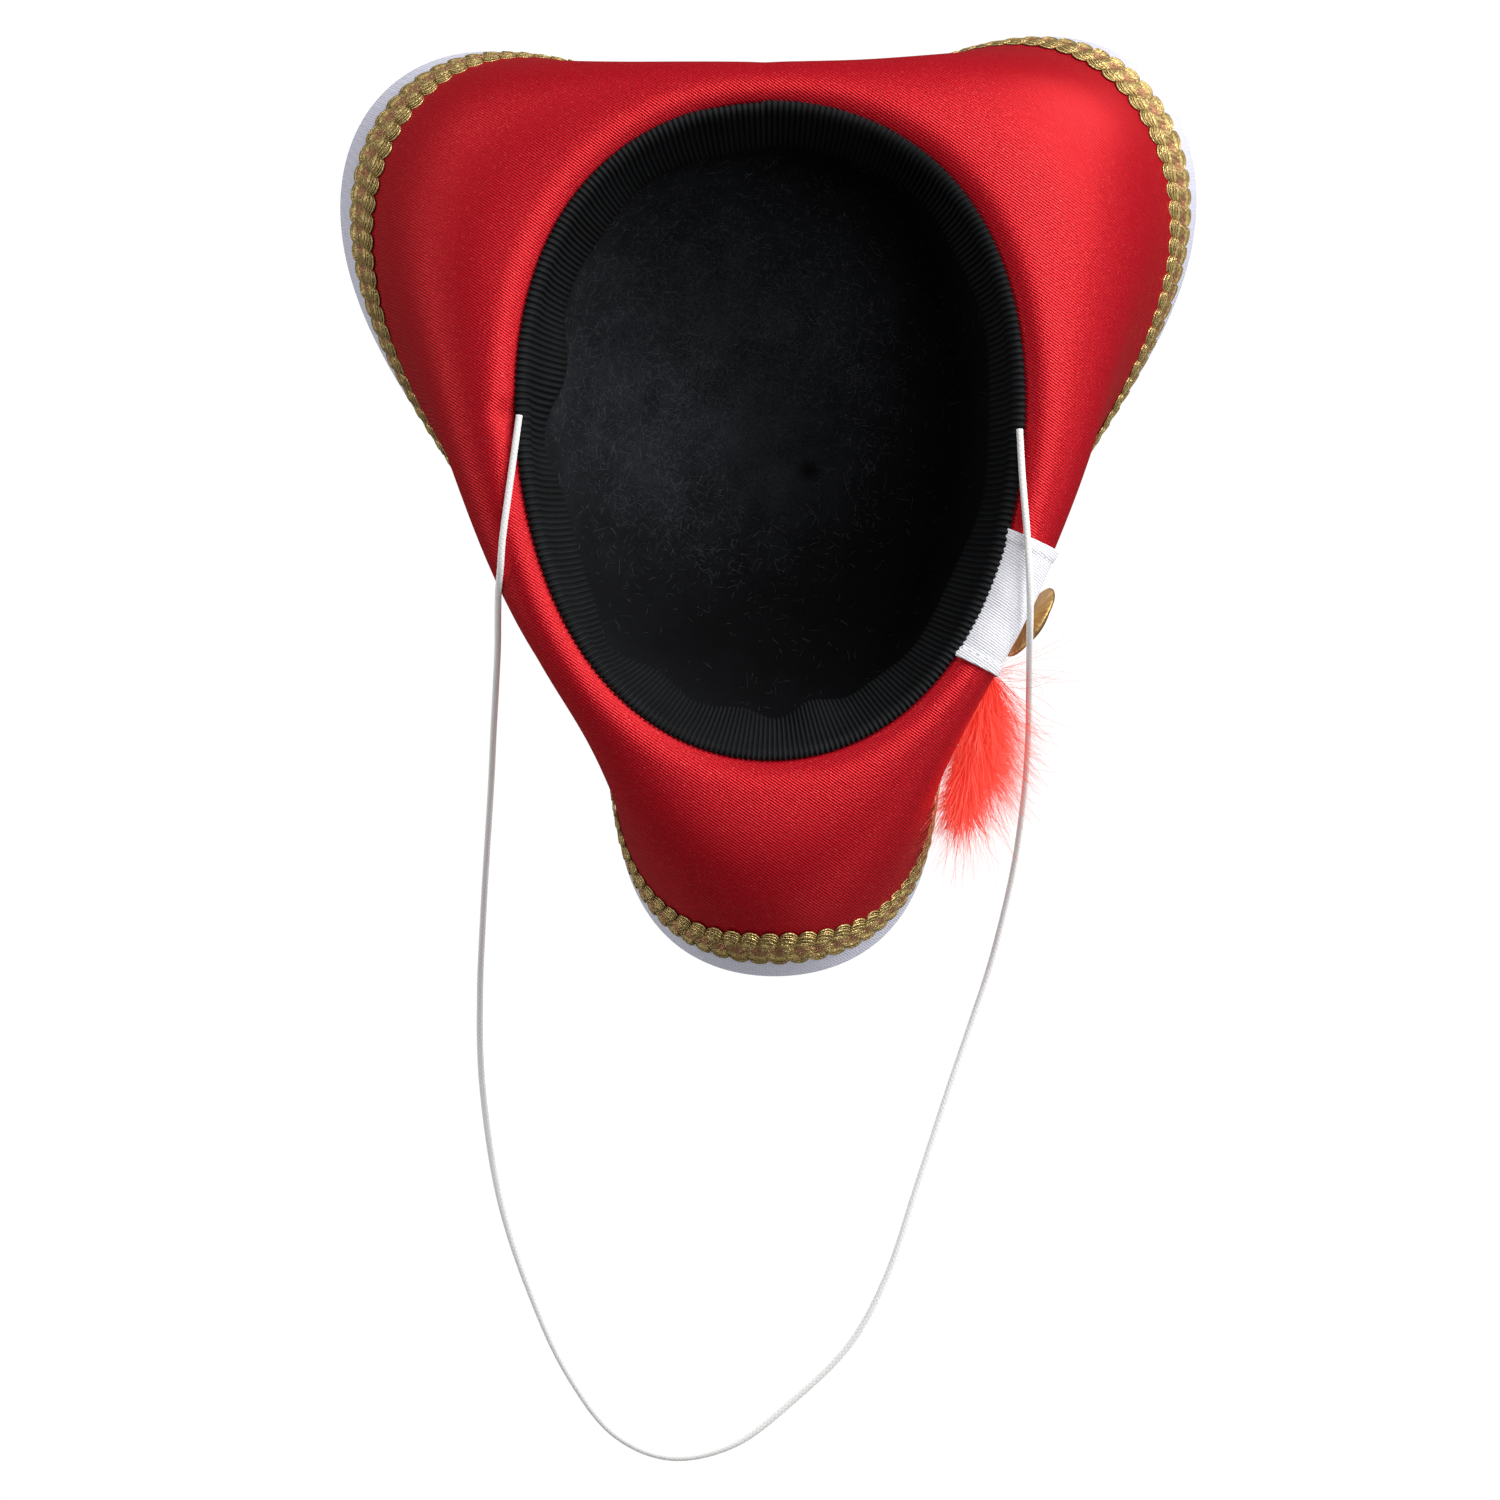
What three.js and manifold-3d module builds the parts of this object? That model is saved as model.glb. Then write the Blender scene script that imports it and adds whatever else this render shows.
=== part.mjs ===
import * as THREE from 'three';
import Module from 'manifold-3d';
import { mergeVertices } from 'three/addons/utils/BufferGeometryUtils.js';

// A three-cornered hat that lies upside down on the top of its crown, with the head opening up.
// Millimetres. +Z goes up out of the opening, +Y is the back of the hat, +X the wearer's right.
// The origin is the middle of the flat top of the crown, on the table.

// Head opening: an egg-shaped oval along the seam between crown and brim.
const HEAD_LENGTH = 207;
const HEAD_WIDTH = 158.8;
const BACK_FULLNESS = 0.07;
const END_FULLNESS = 0.1;

// Crown: a felt dome. Its depth is the height of the seam above the flat top.
const CROWN_DEPTH = 104;
const CROWN_FELT = 2.2;

// Brim: its depth is measured along the cloth from the seam to the edge.
const SIDE_DEPTH = 118.5;
const FRONT_DEPTH = 88.6;
const RIGHT_DEPTH = 105;
const LEFT_DEPTH = 112;
// Slope of the brim at its edge, in degrees below the level.
const SIDE_SLOPE = 101;
const FRONT_SLOPE = 56.7;
const RIGHT_SLOPE = 56.5;
const LEFT_SLOPE = 59.5;
// Directions that the three corners point in, in degrees from the wearer's right to the back.
const FRONT_HEADING = -89;
const RIGHT_HEADING = 33;
const LEFT_HEADING = 149;
const CORNER_SPREAD = 80;
const CORNER_SHARPNESS = 2.4;
// The cloth first rises from the seam, then turns over to its slope along the bend.
const SEAM_RISE = 36.7;
const RISE_RUN = 13;
const SIDE_BEND = 26.4;
const CORNER_BEND = 84;

// Cloth layers and the gap that is left between neighbouring pieces.
const COVER_WALL = 1.6;
const LINING_WALL = 1.2;
const GAP = 0.3;
const EDGE_BORDER = 9.5;
const EDGE_ROUNDING = 1.2;
const COVER_TUCK = 4;

// Gold braid along the edge of the outer face.
const BRAID_WIDTH = 14;
const BRAID_THICKNESS = 1.2;

// Sweatband, sewn to the seam and leaning into the opening.
const BAND_WIDTH = 24;
const BAND_WALL = 1;

// Strap over the fold of the right front flap.
const STRAP_WIDTH = 44;
const STRAP_LENGTH = 62;
const STRAP_THICKNESS = 1.4;
const STRAP_COLUMNS = 8;
const STRAP_PLACE = -0.0845;

// Domed button on the strap.
const BUTTON_DIAMETER = 26;
const BUTTON_EDGE = 1.1;
const BUTTON_DOME = 3.6;
const BUTTON_SHANK = 1.8;
const BUTTON_SHANK_DIAMETER = 6;
const BUTTON_DOWN = 40;
const BUTTON_TURN = -10;

// Plume tucked in at the front edge of the strap and lying along the flap.
const QUILL_DOWN = 38;
const QUILL_LENGTH = 44;
const QUILL_FALL = 16;
const QUILL_LIFT = 8;
const QUILL_DIAMETER = 1.6;
const LOCK_LENGTH = 32;
const LOCK_WIDTH = 10;
const LOCK_THICKNESS = 3.6;

// Elastic chin cord.
const CORD_DIAMETER = 2.2;
const CORD_SIDES = 8;
const CORD_STEPS = 80;

const STATIONS = 48;
const CORNER_CROWDING = 0.35;
const WALK_STEP = 0.5;
const TAU = Math.PI * 2;

// Crown outline as shares of the crown's depth (height) and of the head oval (radius).
const CROWN_OUTLINE = [
  { height: 0, radius: 0.43 },
  { height: 0.02, radius: 0.51 },
  { height: 0.07, radius: 0.63 },
  { height: 0.16, radius: 0.755 },
  { height: 0.31, radius: 0.865 },
  { height: 0.52, radius: 0.945 },
  { height: 0.76, radius: 0.985 },
];

// Places down the brim, as shares of its depth above the braid.
const BRIM_ROWS = [0, 0.045, 0.09, 0.135, 0.18, 0.225, 0.28, 0.37, 0.5, 0.67, 0.84, 1];

// Lean of the sweatband from upright: place as a share of a turn from the wearer's right.
const BAND_LEAN = [
  { place: 0, degrees: 13 },
  { place: 0.125, degrees: 13 },
  { place: 0.25, degrees: 17 },
  { place: 0.375, degrees: 26 },
  { place: 0.5, degrees: 33 },
  { place: 0.625, degrees: 29 },
  { place: 0.75, degrees: 31 },
  { place: 0.875, degrees: 22 },
];

// Spine of the plume. Ahead is a share of the quill's length along the flap from the strap's front
// edge, fall a share of its fall down the flap, lift a share of its height off the flap.
const PLUME_SPINE = [
  { ahead: 0, fall: 0, lift: 0.25 },
  { ahead: 0.227, fall: 0.125, lift: 0.5 },
  { ahead: 0.5, fall: 0.375, lift: 0.75 },
  { ahead: 0.773, fall: 0.69, lift: 0.94 },
  { ahead: 1, fall: 1, lift: 0.875 },
];

// Locks of the plume: start on the spine (share), fan away from the flap and dip, in degrees, and
// length as a share of the longest lock.
const PLUME_LOCKS = [
  { start: 0.06, fan: 34, dip: 12, length: 0.75 },
  { start: 0.06, fan: 12, dip: -6, length: 0.875 },
  { start: 0.24, fan: 30, dip: 24, length: 0.81 },
  { start: 0.24, fan: 16, dip: 2, length: 1 },
  { start: 0.42, fan: 26, dip: 14, length: 0.94 },
  { start: 0.42, fan: 6, dip: 30, length: 0.94 },
  { start: 0.6, fan: 20, dip: 2, length: 0.94 },
  { start: 0.64, fan: 4, dip: 16, length: 0.875 },
  { start: 0.82, fan: 12, dip: 24, length: 0.81 },
];

// Route of the elastic cord: out at the left seam, over the fold, down to the table, round, and
// back over the strap and the fold to the right seam. Its own lengths, in mm.
const CORD_POINTS = [
  [-79.3, 4.5, 106.7], [-81.4, -12, 108.3], [-83, -24, 109], [-84.4, -35, 109],
  [-85.2, -44, 106.9], [-86.2, -50, 100.8], [-87.4, -57, 85.8], [-88.7, -67, 67.7],
  [-90.5, -79, 49.6], [-92.4, -93, 32.8], [-94.1, -109, 18.5], [-95.7, -125, 8.8],
  [-97.1, -141, 3.2], [-98.1, -157, 1.4], [-99.1, -182, 1.3], [-98.4, -212, 1.3],
  [-92.3, -252, 1.3], [-82, -283.5, 1.3], [-69, -311.5, 1.3], [-53, -332, 1.3],
  [-34.5, -339.7, 1.3], [-13, -335.5, 1.3], [8, -320, 1.3], [27, -301, 1.3],
  [39, -279, 1.3], [50, -246.5, 1.3], [60.5, -214.5, 1.3], [68.2, -192, 1.4],
  [74.6, -172, 4], [81.3, -142, 16], [84, -118, 33.5], [84.5, -98, 54],
  [83.6, -82, 75.4], [82.6, -70, 94.4], [82.1, -63, 103.8], [82, -57, 107.4],
  [81.6, -46, 110], [80.8, -32, 110.1], [79.5, -14, 107.7], [78.8, 0, 106.7],
];

const clamp = THREE.MathUtils.clamp;
const radians = THREE.MathUtils.degToRad;

/** Rises smoothly from 0 to 1. */
function ease(share) {
  const x = clamp(share, 0, 1);
  return x * x * (3 - 2 * x);
}

/** Point of the head oval and its outward direction, at a share of a turn from the right. */
function ovalAt(turn) {
  const angle = turn * TAU;
  const sin = Math.sin(angle);
  const cos = Math.cos(angle);
  const half = HEAD_WIDTH / 2;
  const full = 1 + BACK_FULLNESS * sin + END_FULLNESS * sin * sin;
  const slope = BACK_FULLNESS * cos + 2 * END_FULLNESS * sin * cos;
  const dx = half * (cos * slope - sin * full);
  const dy = (HEAD_LENGTH / 2) * cos;
  const length = Math.hypot(dx, dy);
  return {
    x: half * cos * full,
    y: (HEAD_LENGTH / 2) * sin,
    outX: dy / length,
    outY: -dx / length,
  };
}

/** How much a direction belongs to a corner that points to the heading: 1 on it, 0 far away. */
function cornerShare(direction, heading) {
  const away = Math.abs(Math.atan2(
    Math.sin(direction - radians(heading)),
    Math.cos(direction - radians(heading)),
  ));
  const wave = Math.cos(clamp(away / radians(CORNER_SPREAD), 0, 1) * Math.PI / 2);
  return Math.pow(wave * wave, CORNER_SHARPNESS);
}

/** Depth, edge slope and bend of the brim at a share of a turn. */
function brimShape(turn) {
  const oval = ovalAt(turn);
  const direction = Math.atan2(oval.outY, oval.outX);
  const corners = [
    { share: cornerShare(direction, FRONT_HEADING), depth: FRONT_DEPTH, slope: FRONT_SLOPE },
    { share: cornerShare(direction, RIGHT_HEADING), depth: RIGHT_DEPTH, slope: RIGHT_SLOPE },
    { share: cornerShare(direction, LEFT_HEADING), depth: LEFT_DEPTH, slope: LEFT_SLOPE },
  ];
  let depth = SIDE_DEPTH;
  let slope = SIDE_SLOPE;
  let most = 0;
  for (const corner of corners) {
    depth += (corner.depth - SIDE_DEPTH) * corner.share;
    slope += (corner.slope - SIDE_SLOPE) * corner.share;
    most = Math.max(most, corner.share);
  }
  return { oval, depth, slope: radians(slope), bend: SIDE_BEND + (CORNER_BEND - SIDE_BEND) * most };
}

/** Slope of the outer face below the level, at a distance down from the seam. */
function slopeAt(shape, down) {
  const over = shape.slope * ease(down / shape.bend);
  const rise = radians(SEAM_RISE) * (1 - ease(down / RISE_RUN));
  return over - rise;
}

/** Point of the brim at a turn, a distance down from the seam and a lift off the outer face. */
function brimPoint(turn, down, lift) {
  const shape = brimShape(turn);
  const steps = Math.max(1, Math.ceil(Math.abs(down) / WALK_STEP));
  const step = down / steps;
  let out = 0;
  let up = 0;
  for (let i = 0; i < steps; i += 1) {
    const slope = slopeAt(shape, (i + 0.5) * step);
    out += Math.cos(slope) * step;
    up -= Math.sin(slope) * step;
  }
  const slope = slopeAt(shape, down);
  const away = out + Math.sin(slope) * lift;
  return new THREE.Vector3(
    shape.oval.x + shape.oval.outX * away,
    shape.oval.y + shape.oval.outY * away,
    CROWN_DEPTH + up + Math.cos(slope) * lift,
  );
}

/** Share of a turn of a station. The stations stand closer together at the three corners. */
function stationTurn(station) {
  const even = station / STATIONS + FRONT_HEADING / 360;
  return even - (CORNER_CROWDING * Math.sin(3 * TAU * (station / STATIONS))) / (3 * TAU);
}

/** As brimPoint, on the straight line between the two nearest stations. */
function facetPoint(turn, down, lift) {
  let before = 0;
  const place = turn < stationTurn(0) ? turn + 1 : turn;
  while (stationTurn(before + 1) <= place) {
    before += 1;
  }
  const from = stationTurn(before);
  const to = stationTurn(before + 1);
  const start = brimPoint(from, down, lift);
  const end = brimPoint(to, down, lift);
  return start.lerp(end, (place - from) / (to - from));
}

/** Geometry from vertices and triangle indices. */
function geometryFrom(points, index) {
  const geometry = new THREE.BufferGeometry().setFromPoints(points);
  geometry.setIndex(index);
  geometry.computeVertexNormals();
  return geometry;
}

/**
 * Two triangles between two sections. The loop goes out on its first half and comes back on its
 * second, so the diagonal changes over there, and the two faces of a layer stay parallel.
 */
function pushQuad(index, a, b, nextA, nextB, firstHalf) {
  if (firstHalf) {
    index.push(a, nextB, b, a, nextA, nextB);
  } else {
    index.push(a, nextA, b, b, nextA, nextB);
  }
}

/**
 * Solid through sections of equal length, each a loop that runs counterclockwise when it is
 * seen against the direction of the sweep. A ring joins its last section to the first. Any
 * other solid is closed at both ends by strips between the first and last half of the loop.
 */
function loft(sections, ring) {
  const count = sections[0].length;
  const index = [];
  const last = ring ? sections.length : sections.length - 1;
  for (let i = 0; i < last; i += 1) {
    const here = i * count;
    const next = ((i + 1) % sections.length) * count;
    for (let j = 0; j < count; j += 1) {
      pushQuad(index, here + j, here + ((j + 1) % count), next + j, next + ((j + 1) % count),
        j < count / 2);
    }
  }
  if (!ring) {
    const far = (sections.length - 1) * count;
    for (let j = 0; j < count / 2 - 1; j += 1) {
      const a = count - 1 - j;
      index.push(j, j + 1, a, j + 1, a - 1, a);
      index.push(far + j, far + a, far + j + 1, far + j + 1, far + a, far + a - 1);
    }
  }
  return geometryFrom(sections.flat(), index);
}

/** Solid of revolution-like rings: the first and last points of every section are shared. */
function dome(sections) {
  const rows = sections[0].length - 2;
  const points = [sections[0][0]];
  for (const section of sections) {
    points.push(...section.slice(1, -1));
  }
  const top = points.length;
  points.push(sections[0][rows + 1]);
  const index = [];
  for (let i = 0; i < sections.length; i += 1) {
    const here = 1 + i * rows;
    const next = 1 + ((i + 1) % sections.length) * rows;
    index.push(0, next, here);
    for (let j = 0; j < rows - 1; j += 1) {
      pushQuad(index, here + j, here + j + 1, next + j, next + j + 1, j < rows / 2);
    }
    index.push(here + rows - 1, next + rows - 1, top);
  }
  return geometryFrom(points, index);
}

/** One section per station of the ring, made from the share of a turn. */
function around(sectionAt) {
  const sections = [];
  for (let i = 0; i < STATIONS; i += 1) {
    sections.push(sectionAt(stationTurn(i)));
  }
  return sections;
}

/** Where the outer cover ends, below the braid. */
function coverEnd(turn) {
  return brimShape(turn).depth - EDGE_BORDER - COVER_TUCK;
}

/** Where the braid starts. */
function braidStart(turn) {
  return brimShape(turn).depth - EDGE_BORDER - BRAID_WIDTH;
}

/** Distances down the brim at which its layers bend: the rows above the braid, and the end. */
function brimRows(turn) {
  const start = braidStart(turn);
  return [...BRIM_ROWS.map((row) => row * start), coverEnd(turn)];
}

/** Outer cover of the brim: from the seam to under the braid. */
function coverSection(turn) {
  const rows = brimRows(turn);
  const inner = rows.map((down) => brimPoint(turn, down, -COVER_WALL));
  const outer = rows.map((down) => brimPoint(turn, down, 0));
  return [...inner, ...outer.reverse()];
}

/** Lining of the brim, rolled over the edge up to the braid. */
function liningSection(turn) {
  const { depth } = brimShape(turn);
  const end = coverEnd(turn);
  const face = -COVER_WALL - GAP;
  const back = face - LINING_WALL;
  const rows = [...brimRows(turn).slice(1, -1), end + GAP];
  const inner = rows.map((down) => brimPoint(turn, down, back));
  const outer = rows.map((down) => brimPoint(turn, down, face));
  const roll = [
    brimPoint(turn, depth - EDGE_ROUNDING, back),
    brimPoint(turn, depth, back + EDGE_ROUNDING),
    brimPoint(turn, depth, -EDGE_ROUNDING),
    brimPoint(turn, depth - EDGE_ROUNDING, 0),
    brimPoint(turn, depth - EDGE_BORDER, 0),
    brimPoint(turn, end + GAP, 0),
  ];
  return [...inner, ...roll, ...outer.reverse()];
}

/** Braid along the edge, on the outer face. */
function braidSection(turn) {
  const start = braidStart(turn);
  const rows = [start, coverEnd(turn), start + BRAID_WIDTH];
  const under = rows.map((down) => brimPoint(turn, down, GAP));
  const top = rows.map((down) => brimPoint(turn, down, GAP + BRAID_THICKNESS));
  return [...under, ...top.reverse()];
}

/** Crown section: from the outside of the flat top up the wall, over the rim, down inside. */
function crownSection(turn) {
  const oval = ovalAt(turn);
  const mean = (HEAD_LENGTH + HEAD_WIDTH) / 4;
  const rimDrop = COVER_WALL / 2 + GAP;
  const rows = [...CROWN_OUTLINE, { height: 1 - rimDrop / CROWN_DEPTH, radius: 1 }];
  const outer = rows.map((row) => new THREE.Vector3(
    oval.x * row.radius,
    oval.y * row.radius,
    CROWN_DEPTH * row.height,
  ));
  const inner = rows.map((row, i) => {
    const before = rows[Math.max(i - 1, 0)];
    const after = rows[Math.min(i + 1, rows.length - 1)];
    const run = i === 0 ? 1 : (after.radius - before.radius) * mean;
    const climb = i === 0 ? 0 : (after.height - before.height) * CROWN_DEPTH;
    const length = Math.hypot(run, climb);
    const inset = (CROWN_FELT * climb) / length;
    const raise = (CROWN_FELT * run) / length;
    const point = outer[i].clone();
    point.x -= oval.outX * inset;
    point.y -= oval.outY * inset;
    point.z += i === rows.length - 1 ? -CROWN_FELT * 0.7 : raise;
    return point;
  });
  const foot = new THREE.Vector3(0, 0, 0);
  const floor = new THREE.Vector3(0, 0, CROWN_FELT);
  return [foot, ...outer, ...inner.reverse(), floor];
}

/** Lean of the sweatband at a share of a turn, between the rows of its table. */
function bandLean(turn) {
  const share = ((turn % 1) + 1) % 1;
  const place = share * BAND_LEAN.length;
  const before = BAND_LEAN[Math.floor(place) % BAND_LEAN.length].degrees;
  const after = BAND_LEAN[(Math.floor(place) + 1) % BAND_LEAN.length].degrees;
  return radians(before + (after - before) * ease(place % 1));
}

/** Sweatband section: over the end of the cover and the rim, then down into the opening. */
function bandSection(turn) {
  const oval = ovalAt(turn);
  const lean = bandLean(turn);
  const neck = CROWN_FELT + GAP * 2;
  const drop = COVER_WALL / 2 + CROWN_FELT * 0.7 + GAP;
  const spine = [
    { inset: GAP * 2, down: -GAP },
    { inset: GAP * 2, down: GAP * 1.5 },
    { inset: neck, down: drop },
    { inset: neck + BAND_WIDTH * 0.4 * Math.sin(lean), down: drop + BAND_WIDTH * 0.4 },
    { inset: neck + BAND_WIDTH * Math.sin(lean), down: drop + BAND_WIDTH * Math.cos(lean) },
  ];
  const at = (inset, down) => new THREE.Vector3(
    oval.x - oval.outX * inset,
    oval.y - oval.outY * inset,
    CROWN_DEPTH - down,
  );
  const outer = spine.map((row) => at(row.inset, row.down));
  const inner = spine.map((row, i) => {
    const raise = i === 2 ? BAND_WALL * 0.6 : 0;
    return at(row.inset + BAND_WALL * (i < 2 ? 1.1 : 1), row.down - raise);
  });
  return [...inner, ...outer.reverse()];
}

/** Strap: a strip of even width over the fold, with its rows on the rows of the cover below. */
function strapGeometry() {
  const rows = brimRows(STRAP_PLACE).slice(1).filter((down) => down < STRAP_LENGTH - 3);
  const sections = [GAP * 4, ...rows, STRAP_LENGTH].map((down) => {
    const half = STRAP_WIDTH / 2 / lengthPerTurn(STRAP_PLACE, down);
    const places = [];
    for (let i = 0; i <= STRAP_COLUMNS; i += 1) {
      places.push(STRAP_PLACE + half * ((2 * i) / STRAP_COLUMNS - 1));
    }
    const under = places.map((turn) => facetPoint(turn, down, GAP));
    const top = places.map((turn) => facetPoint(turn, down, GAP + STRAP_THICKNESS));
    return [...top, ...under.reverse()];
  });
  return loft(sections, false);
}

/** Millimetres along the brim per turn, at a place on it. */
function lengthPerTurn(turn, down) {
  const step = 0.001;
  return brimPoint(turn + step, down, 0).distanceTo(brimPoint(turn - step, down, 0)) / (2 * step);
}

/** Directions at a place on the brim: ahead along it, down it, and off it. */
function brimFrame(turn, down) {
  const here = brimPoint(turn, down, 0);
  const off = brimPoint(turn, down, 1).sub(here).normalize();
  const lower = brimPoint(turn, down + 1, 0).sub(here).normalize();
  const ahead = new THREE.Vector3().crossVectors(off, lower).normalize();
  const aside = brimPoint(turn - 0.001, down, 0).sub(here);
  if (ahead.dot(aside) < 0) {
    ahead.negate();
  }
  return { ahead, lower, off };
}

/** Button: shank, flat back and dome, turned about the shank's axis. */
function buttonMesh() {
  const radius = BUTTON_DIAMETER / 2;
  const shank = BUTTON_SHANK_DIAMETER / 2;
  const rim = BUTTON_SHANK + BUTTON_EDGE;
  const profile = [
    new THREE.Vector2(0, 0),
    new THREE.Vector2(shank, 0),
    new THREE.Vector2(shank, BUTTON_SHANK),
    new THREE.Vector2(radius, BUTTON_SHANK),
    new THREE.Vector2(radius, rim),
    new THREE.Vector2(radius * 0.82, rim + BUTTON_DOME * 0.42),
    new THREE.Vector2(radius * 0.5, rim + BUTTON_DOME * 0.82),
    new THREE.Vector2(0, rim + BUTTON_DOME),
  ];
  const mesh = new THREE.Mesh(new THREE.LatheGeometry(profile, 24));
  const { off } = brimFrame(STRAP_PLACE, BUTTON_DOWN);
  const axis = off.clone().applyAxisAngle(new THREE.Vector3(0, 0, 1), radians(BUTTON_TURN));
  const tilt = (shank + 0.2) * Math.sin(Math.abs(radians(BUTTON_TURN)));
  mesh.quaternion.setFromUnitVectors(new THREE.Vector3(0, 1, 0), axis);
  mesh.position.copy(facetPoint(STRAP_PLACE, BUTTON_DOWN, GAP * 2 + STRAP_THICKNESS + tilt));
  return mesh;
}

/** Tapered solid along a curve: flat six-sided sections that shrink towards the tip. */
function taperedStrip(curve, off, width, thickness, steps) {
  const sections = [];
  for (let i = 0; i <= steps; i += 1) {
    const share = i / steps;
    const point = curve.getPoint(share);
    const tangent = curve.getTangent(share).normalize();
    const side = new THREE.Vector3().crossVectors(tangent, off).normalize();
    const lift = new THREE.Vector3().crossVectors(side, tangent).normalize();
    const swell = Math.sin(Math.PI * (0.18 + 0.74 * share));
    const half = (width / 2) * Math.max(swell, 0.12);
    const thick = (thickness / 2) * Math.max(swell, 0.2);
    const at = (x, y) => point.clone().addScaledVector(side, x).addScaledVector(lift, y);
    sections.push([
      at(-half, 0), at(-half * 0.5, -thick), at(half * 0.5, -thick),
      at(half, 0), at(half * 0.5, thick), at(-half * 0.5, thick),
    ]);
  }
  return loft(sections, false);
}

/** Solid from a closed geometry, with its shared vertices merged. */
function solidOf(wasm, geometry) {
  const bare = geometry.clone();
  bare.deleteAttribute('normal');
  bare.deleteAttribute('uv');
  const merged = mergeVertices(bare, 1e-4);
  return new wasm.Manifold(new wasm.Mesh({
    numProp: 3,
    vertProperties: new Float32Array(merged.attributes.position.array),
    triVerts: new Uint32Array(merged.index.array),
  }));
}

/** Geometry from a solid. */
function geometryOf(solid) {
  const mesh = solid.getMesh();
  const geometry = new THREE.BufferGeometry();
  geometry.setAttribute('position', new THREE.BufferAttribute(mesh.vertProperties, 3));
  geometry.setIndex(new THREE.BufferAttribute(mesh.triVerts, 1));
  geometry.computeVertexNormals();
  return geometry;
}

/** Plume: a quill with its locks fused to it. */
function plumeGeometry(wasm) {
  const perTurn = lengthPerTurn(STRAP_PLACE, QUILL_DOWN);
  const strapEdge = STRAP_PLACE - (STRAP_WIDTH / 2 + QUILL_DIAMETER / 2) / perTurn;
  const spine = new THREE.CatmullRomCurve3(PLUME_SPINE.map((row) => brimPoint(
    strapEdge - (row.ahead * QUILL_LENGTH) / perTurn,
    QUILL_DOWN + row.fall * QUILL_FALL,
    row.lift * QUILL_LIFT,
  )));
  const upright = new THREE.Vector3(0, 0, 1);
  const { off } = brimFrame(strapEdge, QUILL_DOWN);
  let solid = solidOf(wasm, taperedStrip(spine, off, QUILL_DIAMETER * 1.6, QUILL_DIAMETER, 8));
  for (const lock of PLUME_LOCKS) {
    const length = lock.length * LOCK_LENGTH;
    const start = spine.getPoint(lock.start);
    const tangent = spine.getTangent(lock.start).normalize();
    const side = new THREE.Vector3().crossVectors(upright, tangent).normalize();
    const heading = tangent.clone().applyAxisAngle(upright, radians(lock.fan));
    heading.applyAxisAngle(side, radians(lock.dip)).normalize();
    const middle = start.clone().addScaledVector(heading, length * 0.5);
    const tip = start.clone().addScaledVector(heading, length * 0.8);
    tip.addScaledVector(tangent, length * 0.22);
    const curve = new THREE.CatmullRomCurve3([start, middle, tip]);
    const strip = taperedStrip(curve, upright, LOCK_WIDTH, LOCK_THICKNESS, 4);
    solid = solid.add(solidOf(wasm, strip));
  }
  return geometryOf(solid);
}

/** Elastic cord: one tube along its route. */
function cordGeometry() {
  const route = new THREE.CatmullRomCurve3(
    CORD_POINTS.map((point) => new THREE.Vector3(...point)),
    false,
    'centripetal',
  );
  const section = new THREE.Shape();
  for (let i = 0; i < CORD_SIDES; i += 1) {
    const angle = (i / CORD_SIDES) * TAU;
    const x = (CORD_DIAMETER / 2) * Math.cos(angle);
    const y = (CORD_DIAMETER / 2) * Math.sin(angle);
    if (i === 0) {
      section.moveTo(x, y);
    } else {
      section.lineTo(x, y);
    }
  }
  section.closePath();
  return new THREE.ExtrudeGeometry(section, {
    steps: CORD_STEPS,
    extrudePath: route,
    bevelEnabled: false,
  });
}

/** Mesh of a cloth, felt, metal or feather piece. */
function piece(name, geometry, color, roughness, metalness) {
  const mesh = geometry.isMesh ? geometry : new THREE.Mesh(geometry);
  mesh.name = name;
  mesh.material = new THREE.MeshStandardMaterial({ color, roughness, metalness });
  return mesh;
}

const wasm = await Module();
wasm.setup();

const hat = new THREE.Group();
hat.add(piece('crown', dome(around(crownSection)), '#0d0e12', 0.95, 0));
hat.add(piece('brim_cover', loft(around(coverSection), true), '#b3101f', 0.38, 0));
hat.add(piece('brim_lining', loft(around(liningSection), true), '#e6e6ee', 0.45, 0));
hat.add(piece('edge_braid', loft(around(braidSection), true), '#b08a35', 0.35, 0.8));
hat.add(piece('sweatband', loft(around(bandSection), true), '#101216', 0.9, 0));
hat.add(piece('strap', strapGeometry(), '#f2f2f6', 0.5, 0));
hat.add(piece('button', buttonMesh(), '#b5893c', 0.25, 1));
hat.add(piece('plume', plumeGeometry(wasm), '#e8453a', 0.8, 0));
hat.add(piece('chin_elastic', cordGeometry(), '#f1f1ee', 0.7, 0));

export default hat;
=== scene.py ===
"""A three-cornered costume hat that lies upside down on its crown, seen from above.

X points to the wearer's right, Y to the back of the hat and Z up. All lengths are in metres.
"""

import logging
import math
from dataclasses import dataclass, field
from enum import Enum
from typing import Callable, Sequence

import bmesh
import bpy
import numpy as np
from mathutils import Matrix, Vector


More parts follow.
